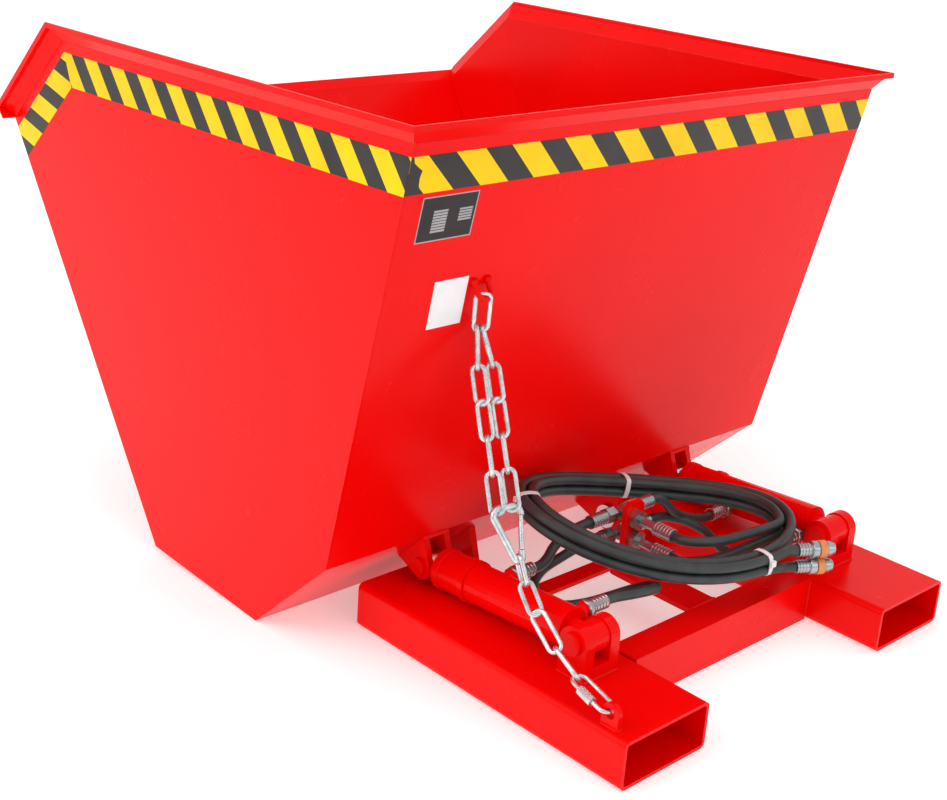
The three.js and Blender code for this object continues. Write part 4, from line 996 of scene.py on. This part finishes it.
wall_down = Vector((0.0, -math.sin(wall_lean), -math.cos(wall_lean)))
wall_out = Vector((0.0, math.cos(wall_lean), -math.sin(wall_lean)))
rear_plane = (Vector((-1.0, 0.0, 0.0)), wall_down, wall_out)
half_width, tape_top = 473.0, 741.0
corner_at = at(half_width, wall_y(tape_top), tape_top)
rear_corners = [(0.0, 0.0), (2 * half_width, 0.0), (2 * half_width, tape_width), (0.0, tape_width)]
rear_stripes = stripes(rear_corners, first=26.0, pitch=93.3, dark=45.0, slant=53.0)
film("tape_rear", corner_at, *rear_plane, rear_stripes, [yellow, black])
print("rear tape:", len(rear_stripes), "patches")

# %% [markdown]
# ## Where the side tapes run
#
# On each side the tape starts at the rear corner, runs level to the top of the front slope and
# then, after a mitre, down beside it. The mitre lies on the line that halves the bend of the wall's
# edge, and the sloping tape is cut off by the wall's front edge.

# %% Mitre and front edge
apex_y, apex_z = -1132.0, 757.0
slope_end_y, slope_end_z = -1287.8, 612.0
front_foot_y, front_foot_z = -880.0, 12.0
edge_margin = 1.0
slope = Vector((0.0, slope_end_y - apex_y, slope_end_z - apex_z)).normalized()
slope_in = Vector((0.0, -slope.z, slope.y))
front_edge = Vector((0.0, front_foot_y - slope_end_y, front_foot_z - slope_end_z)).normalized()
inset = apex_z - tape_top
lean_in = math.tan(math.atan2(-slope.z, -slope.y) / 2)


def mitre(depth):
    """Where level tape and sloping tape meet, at a depth below the top bend of the side wall."""
    return Vector((0.0, apex_y + depth * lean_in, apex_z - depth))


def slope_end(depth):
    """Length of the sloping tape's edge at a depth, from its outer mitre to near the front edge."""
    start = mitre(inset) + slope_in * (depth - inset)
    gap = Vector((0.0, slope_end_y, slope_end_z)) - start
    across = front_edge.y * slope.z - front_edge.z * slope.y
    return (front_edge.y * gap.z - front_edge.z * gap.y) / across - edge_margin


print("sloping tape length", round(slope_end(inset), 1), "mm")

# %% [markdown]
# ## Tape on the side walls
#
# Both sides get the same two runs. On the near side the tape's torn end is wrapped round the corner
# onto the rear wall, over the start of the other run.

# %% Side tapes
outer, inner = mitre(inset), mitre(inset + tape_width)
level_corners = [
    (0.0, 0.0),
    (wall_y(tape_top) - outer.y, 0.0),
    (wall_y(tape_top - tape_width) - outer.y, tape_width),
    (inner.y - outer.y, tape_width),
]
slope_corners = [
    (0.0, 0.0),
    (slope_end(inset), 0.0),
    (slope_end(inset + tape_width), tape_width),
    ((inner - outer).dot(slope), tape_width),
]
level_mark, slope_mark = -1104.0 - outer.y, -53.3
level_stripes = stripes(level_corners, first=level_mark, pitch=73.7, dark=36.0, slant=39.0)
slope_stripes = stripes(slope_corners, first=slope_mark, pitch=68.0, dark=30.0, slant=-32.0)
rearward, downward = Vector((0.0, 1.0, 0.0)), Vector((0.0, 0.0, -1.0))
for side, name in ((1, "near"), (-1, "far")):
    start = at(side * half_width, outer.y, outer.z)
    out = Vector((side, 0.0, 0.0))
    film(f"tape_level_{name}", start, rearward, downward, out, level_stripes, [yellow, black])
    film(f"tape_slope_{name}", start, slope, slope_in, out, slope_stripes, [yellow, black])

torn_end = [(0, 0), (3.5, 0), (6, 8), (15, 15), (21, 19), (19, 28), (20, 38), (25, 50), (0, 50)]
film("tape_wrap", corner_at, *rear_plane, [(0, torn_end)], [black], second_lift)
print("side tape:", len(level_stripes) + len(slope_stripes), "patches a side")

# %% [markdown]
# ## Labels
#
# A rating plate and a sheet label sit on the rear wall beside the staple. Both are left blank: the
# plate keeps its dark ground, its pale border and empty fields, and the label its white sheet.

# %% Rating plate and blank label
def field(left, top, width, height):
    """A rectangle as (right, down) corners."""
    return [(left, top), (left + width, top), (left + width, top + height), (left, top + height)]


def bordered(width, height, border):
    """Border patches (1) round a ground patch (0)."""
    inside = field(border, border, width - 2 * border, height - 2 * border)
    outside = field(0.0, 0.0, width, height)
    patches = [(0, inside)]
    for k in range(4):
        n = (k + 1) % 4
        patches.append((1, [outside[k], outside[n], inside[n], inside[k]]))
    return patches


plate_x, plate_z = 440.0, 686.0
plate_at = at(plate_x, wall_y(plate_z), plate_z)
plate = bordered(width=93.0, height=62.0, border=1.6)
film("rating_plate", plate_at, *rear_plane, plate, [label_dark, label_grey])
rows = [field(left=22.0, top=19.7 + 3.9 * k, width=23.4, height=2.8) for k in range(8)]
rows += [field(left=65.0, top=21.0 + 3.7 * k, width=22.0, height=2.5) for k in range(5)]
fields = [(0, row) for row in rows]
film("plate_fields", plate_at, *rear_plane, fields, [label_grey], second_lift)

label_x, label_z = 389.0, 566.0
label_at = at(label_x, wall_y(label_z), label_z)
sheet_outline = [(0.0, 0.0), (58.5, 0.0), (61.5, 69.5), (2.5, 69.5)]
film("blank_label", label_at, *rear_plane, [(0, sheet_outline)], [label_white])
print("empty fields:", len(rows))

# %% [markdown]
# ## How a weld is made
#
# Nearly every joint of the frame is a fillet weld laid by hand before painting. A bead is a bar
# whose thickness swells and narrows with each drop of metal, so `bead` makes it from rings of
# changing size, a little uneven, along the corner between two plates. `foot` finds the four
# corners' lines at the bottom of an upright plate.

# %% Weld beads
random.seed(11)
drop_length, rings_per_drop, bead_sides = 3.2, 4, 10
ripple, unevenness, tapered_end = 0.16, 0.05, 0.55
foot_lift = 0.5


def bead(mesh, start, end, size):
    """Adds one rippled bead from start to end, points in metres, size in millimetres."""
    along = (end - start).normalized()
    count = max(rings_per_drop, round((end - start).length / MM / drop_length * rings_per_drop))
    rings = []
    for k in range(count + 1):
        middle = start.lerp(end, k / count)
        wave = math.cos(2 * math.pi * k / rings_per_drop)
        swell = 1.0 + ripple * wave + random.uniform(-unevenness, unevenness)
        if k in (0, count):
            swell *= tapered_end
        rings.append(ring_round(mesh, middle, along, size * swell, bead_sides))
    for stretch in skin(mesh, rings):
        for face in stretch:
            face.smooth = True


def weld(name, runs, body, size=3.0):
    """One piece with a bead along each (start, end) run."""
    mesh = bmesh.new()
    for start, end in runs:
        bead(mesh, start, end, size)
    bmesh.ops.recalc_face_normals(mesh, faces=mesh.faces)
    piece = as_piece(name, mesh, paint)
    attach(piece, body)
    return piece


def foot(node):
    """Runs along the four sides of the foot of an upright node."""
    low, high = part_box(node)
    z = low.z + foot_lift * MM
    a, b = Vector((low.x, low.y, z)), Vector((high.x, low.y, z))
    c, d = Vector((high.x, high.y, z)), Vector((low.x, high.y, z))
    return [(d, a), (b, c), (a, b), (c, d)]


print("a bead swells every", drop_length, "mm")

# %% [markdown]
# ## Welds of the frame and the staple
#
# Clevises, lug and manifold plate are welded all round their feet. The cross member, the front bar
# and the tongue get a seam where they meet the next part, and each leg of the staple a short blob.

# %% Welds
welds = [weld(f"weld_clevis_{side}", foot(f"cylinder_clevis_{side}"), "frame") for side in ("left", "right")]
welds.append(weld("weld_chain_lug", foot("chain_lug"), "frame", size=2.4))
welds.append(weld("weld_manifold", foot("manifold_plate"), "frame", size=2.4))

seams = []
seam_inset = 6 * MM
low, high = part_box("rear_cross_member")
for x in (low.x, high.x):
    for y in (low.y, high.y):
        seams.append((Vector((x, y, low.z + seam_inset)), Vector((x, y, high.z - seam_inset))))
seam_y, seam_z = bar_front + 8, 9
for x in (-bar_half, bar_half):
    seams.append((at(x, seam_y, seam_z), at(x, bar_rear, seam_z)))
welds.append(weld("weld_cross_members", seams, "frame", size=2.6))
tongue_seams = [
    (at(-tongue_half, tongue_rear, z), at(tongue_half, tongue_rear, z)) for z in (tongue_high, tongue_low)
]
welds.append(weld("weld_tongue", tongue_seams, "frame", size=2.2))

blobs = []
blob_half, blob_lift = 5, 1.2
for x in (staple_x - staple_radius, staple_x + staple_radius):
    y = staple_wall + blob_lift
    blobs.append((at(x - blob_half, y, staple_z), at(x + blob_half, y, staple_z)))
welds.append(weld("weld_staple", blobs, "bucket", size=4.6))
print("weld pieces:", len(welds))

# %% [markdown]
# ## Studio
#
# The product stands on a white floor that runs out of sight. The floor glows a little, which keeps
# it white between the shadows.

# %% Floor
floor_reach, floor_gap = 40.0, 0.8
floor_data = bpy.data.meshes.new("studio_floor")
floor_corners = [(x * floor_reach, y * floor_reach, 0) for x, y in ((-1, -1), (1, -1), (1, 1), (-1, 1))]
floor_data.from_pydata(floor_corners, [], [(0, 1, 2, 3)])
floor_finish = finish(
    "studio_floor", (0.90, 0.90, 0.90), (0.88, 0.88, 0.88),
    roughness=0.7, spread=0.03, patch=0.6, grain=40.0, relief=0.02, shine=0.2,
)
floor_shader = floor_finish.node_tree.nodes["Principled BSDF"]
floor_shader.inputs["Emission Color"].default_value = (1.0, 1.0, 1.0, 1.0)
floor_shader.inputs["Emission Strength"].default_value = 0.36
floor_data.materials.append(floor_finish)
floor = bpy.data.objects.new("studio_floor", floor_data)
floor.location.z = -floor_gap * MM
bpy.context.scene.collection.objects.link(floor)
print("floor is", 2 * floor_reach, "m wide")

# %% [markdown]
# ## Lights and world
#
# Three large rectangles give soft shadows: a key from the camera's left, a fill from its right and
# one overhead. The world is pale, so the gloss paint has something to mirror everywhere, and the
# plain view transform keeps saturated red from turning pink.

# %% Lights
def soft_light(name, place, target, size, watts):
    """A rectangular light at a place, looking at a target, all in metres."""
    data = bpy.data.lights.new(name, "AREA")
    data.shape = "RECTANGLE"
    data.size, data.size_y = size
    data.energy = watts
    light = bpy.data.objects.new(name, data)
    light.location = place
    light.rotation_mode = "QUATERNION"
    light.rotation_quaternion = (Vector(target) - Vector(place)).to_track_quat("-Z", "Y")
    bpy.context.scene.collection.objects.link(light)


soft_light("key", (3.2, -0.6, 3.0), (0.2, 0.0, 0.4), size=(2.4, 2.4), watts=42)
soft_light("fill", (-0.4, 4.2, 2.2), (0.0, 0.0, 0.4), size=(3.0, 2.0), watts=16)
soft_light("overhead", (0.0, 0.0, 4.5), (0.0, 0.0, 0.0), size=(3.5, 3.5), watts=34)

bpy.context.scene.view_settings.view_transform = "Standard"
world = bpy.data.worlds.new("studio_world")
bpy.context.scene.world = world
world.use_nodes = True
world.node_tree.nodes["Background"].inputs["Color"].default_value = (1.0, 1.0, 1.0, 1.0)
world.node_tree.nodes["Background"].inputs["Strength"].default_value = 0.76
print("lights:", len(bpy.data.lights))
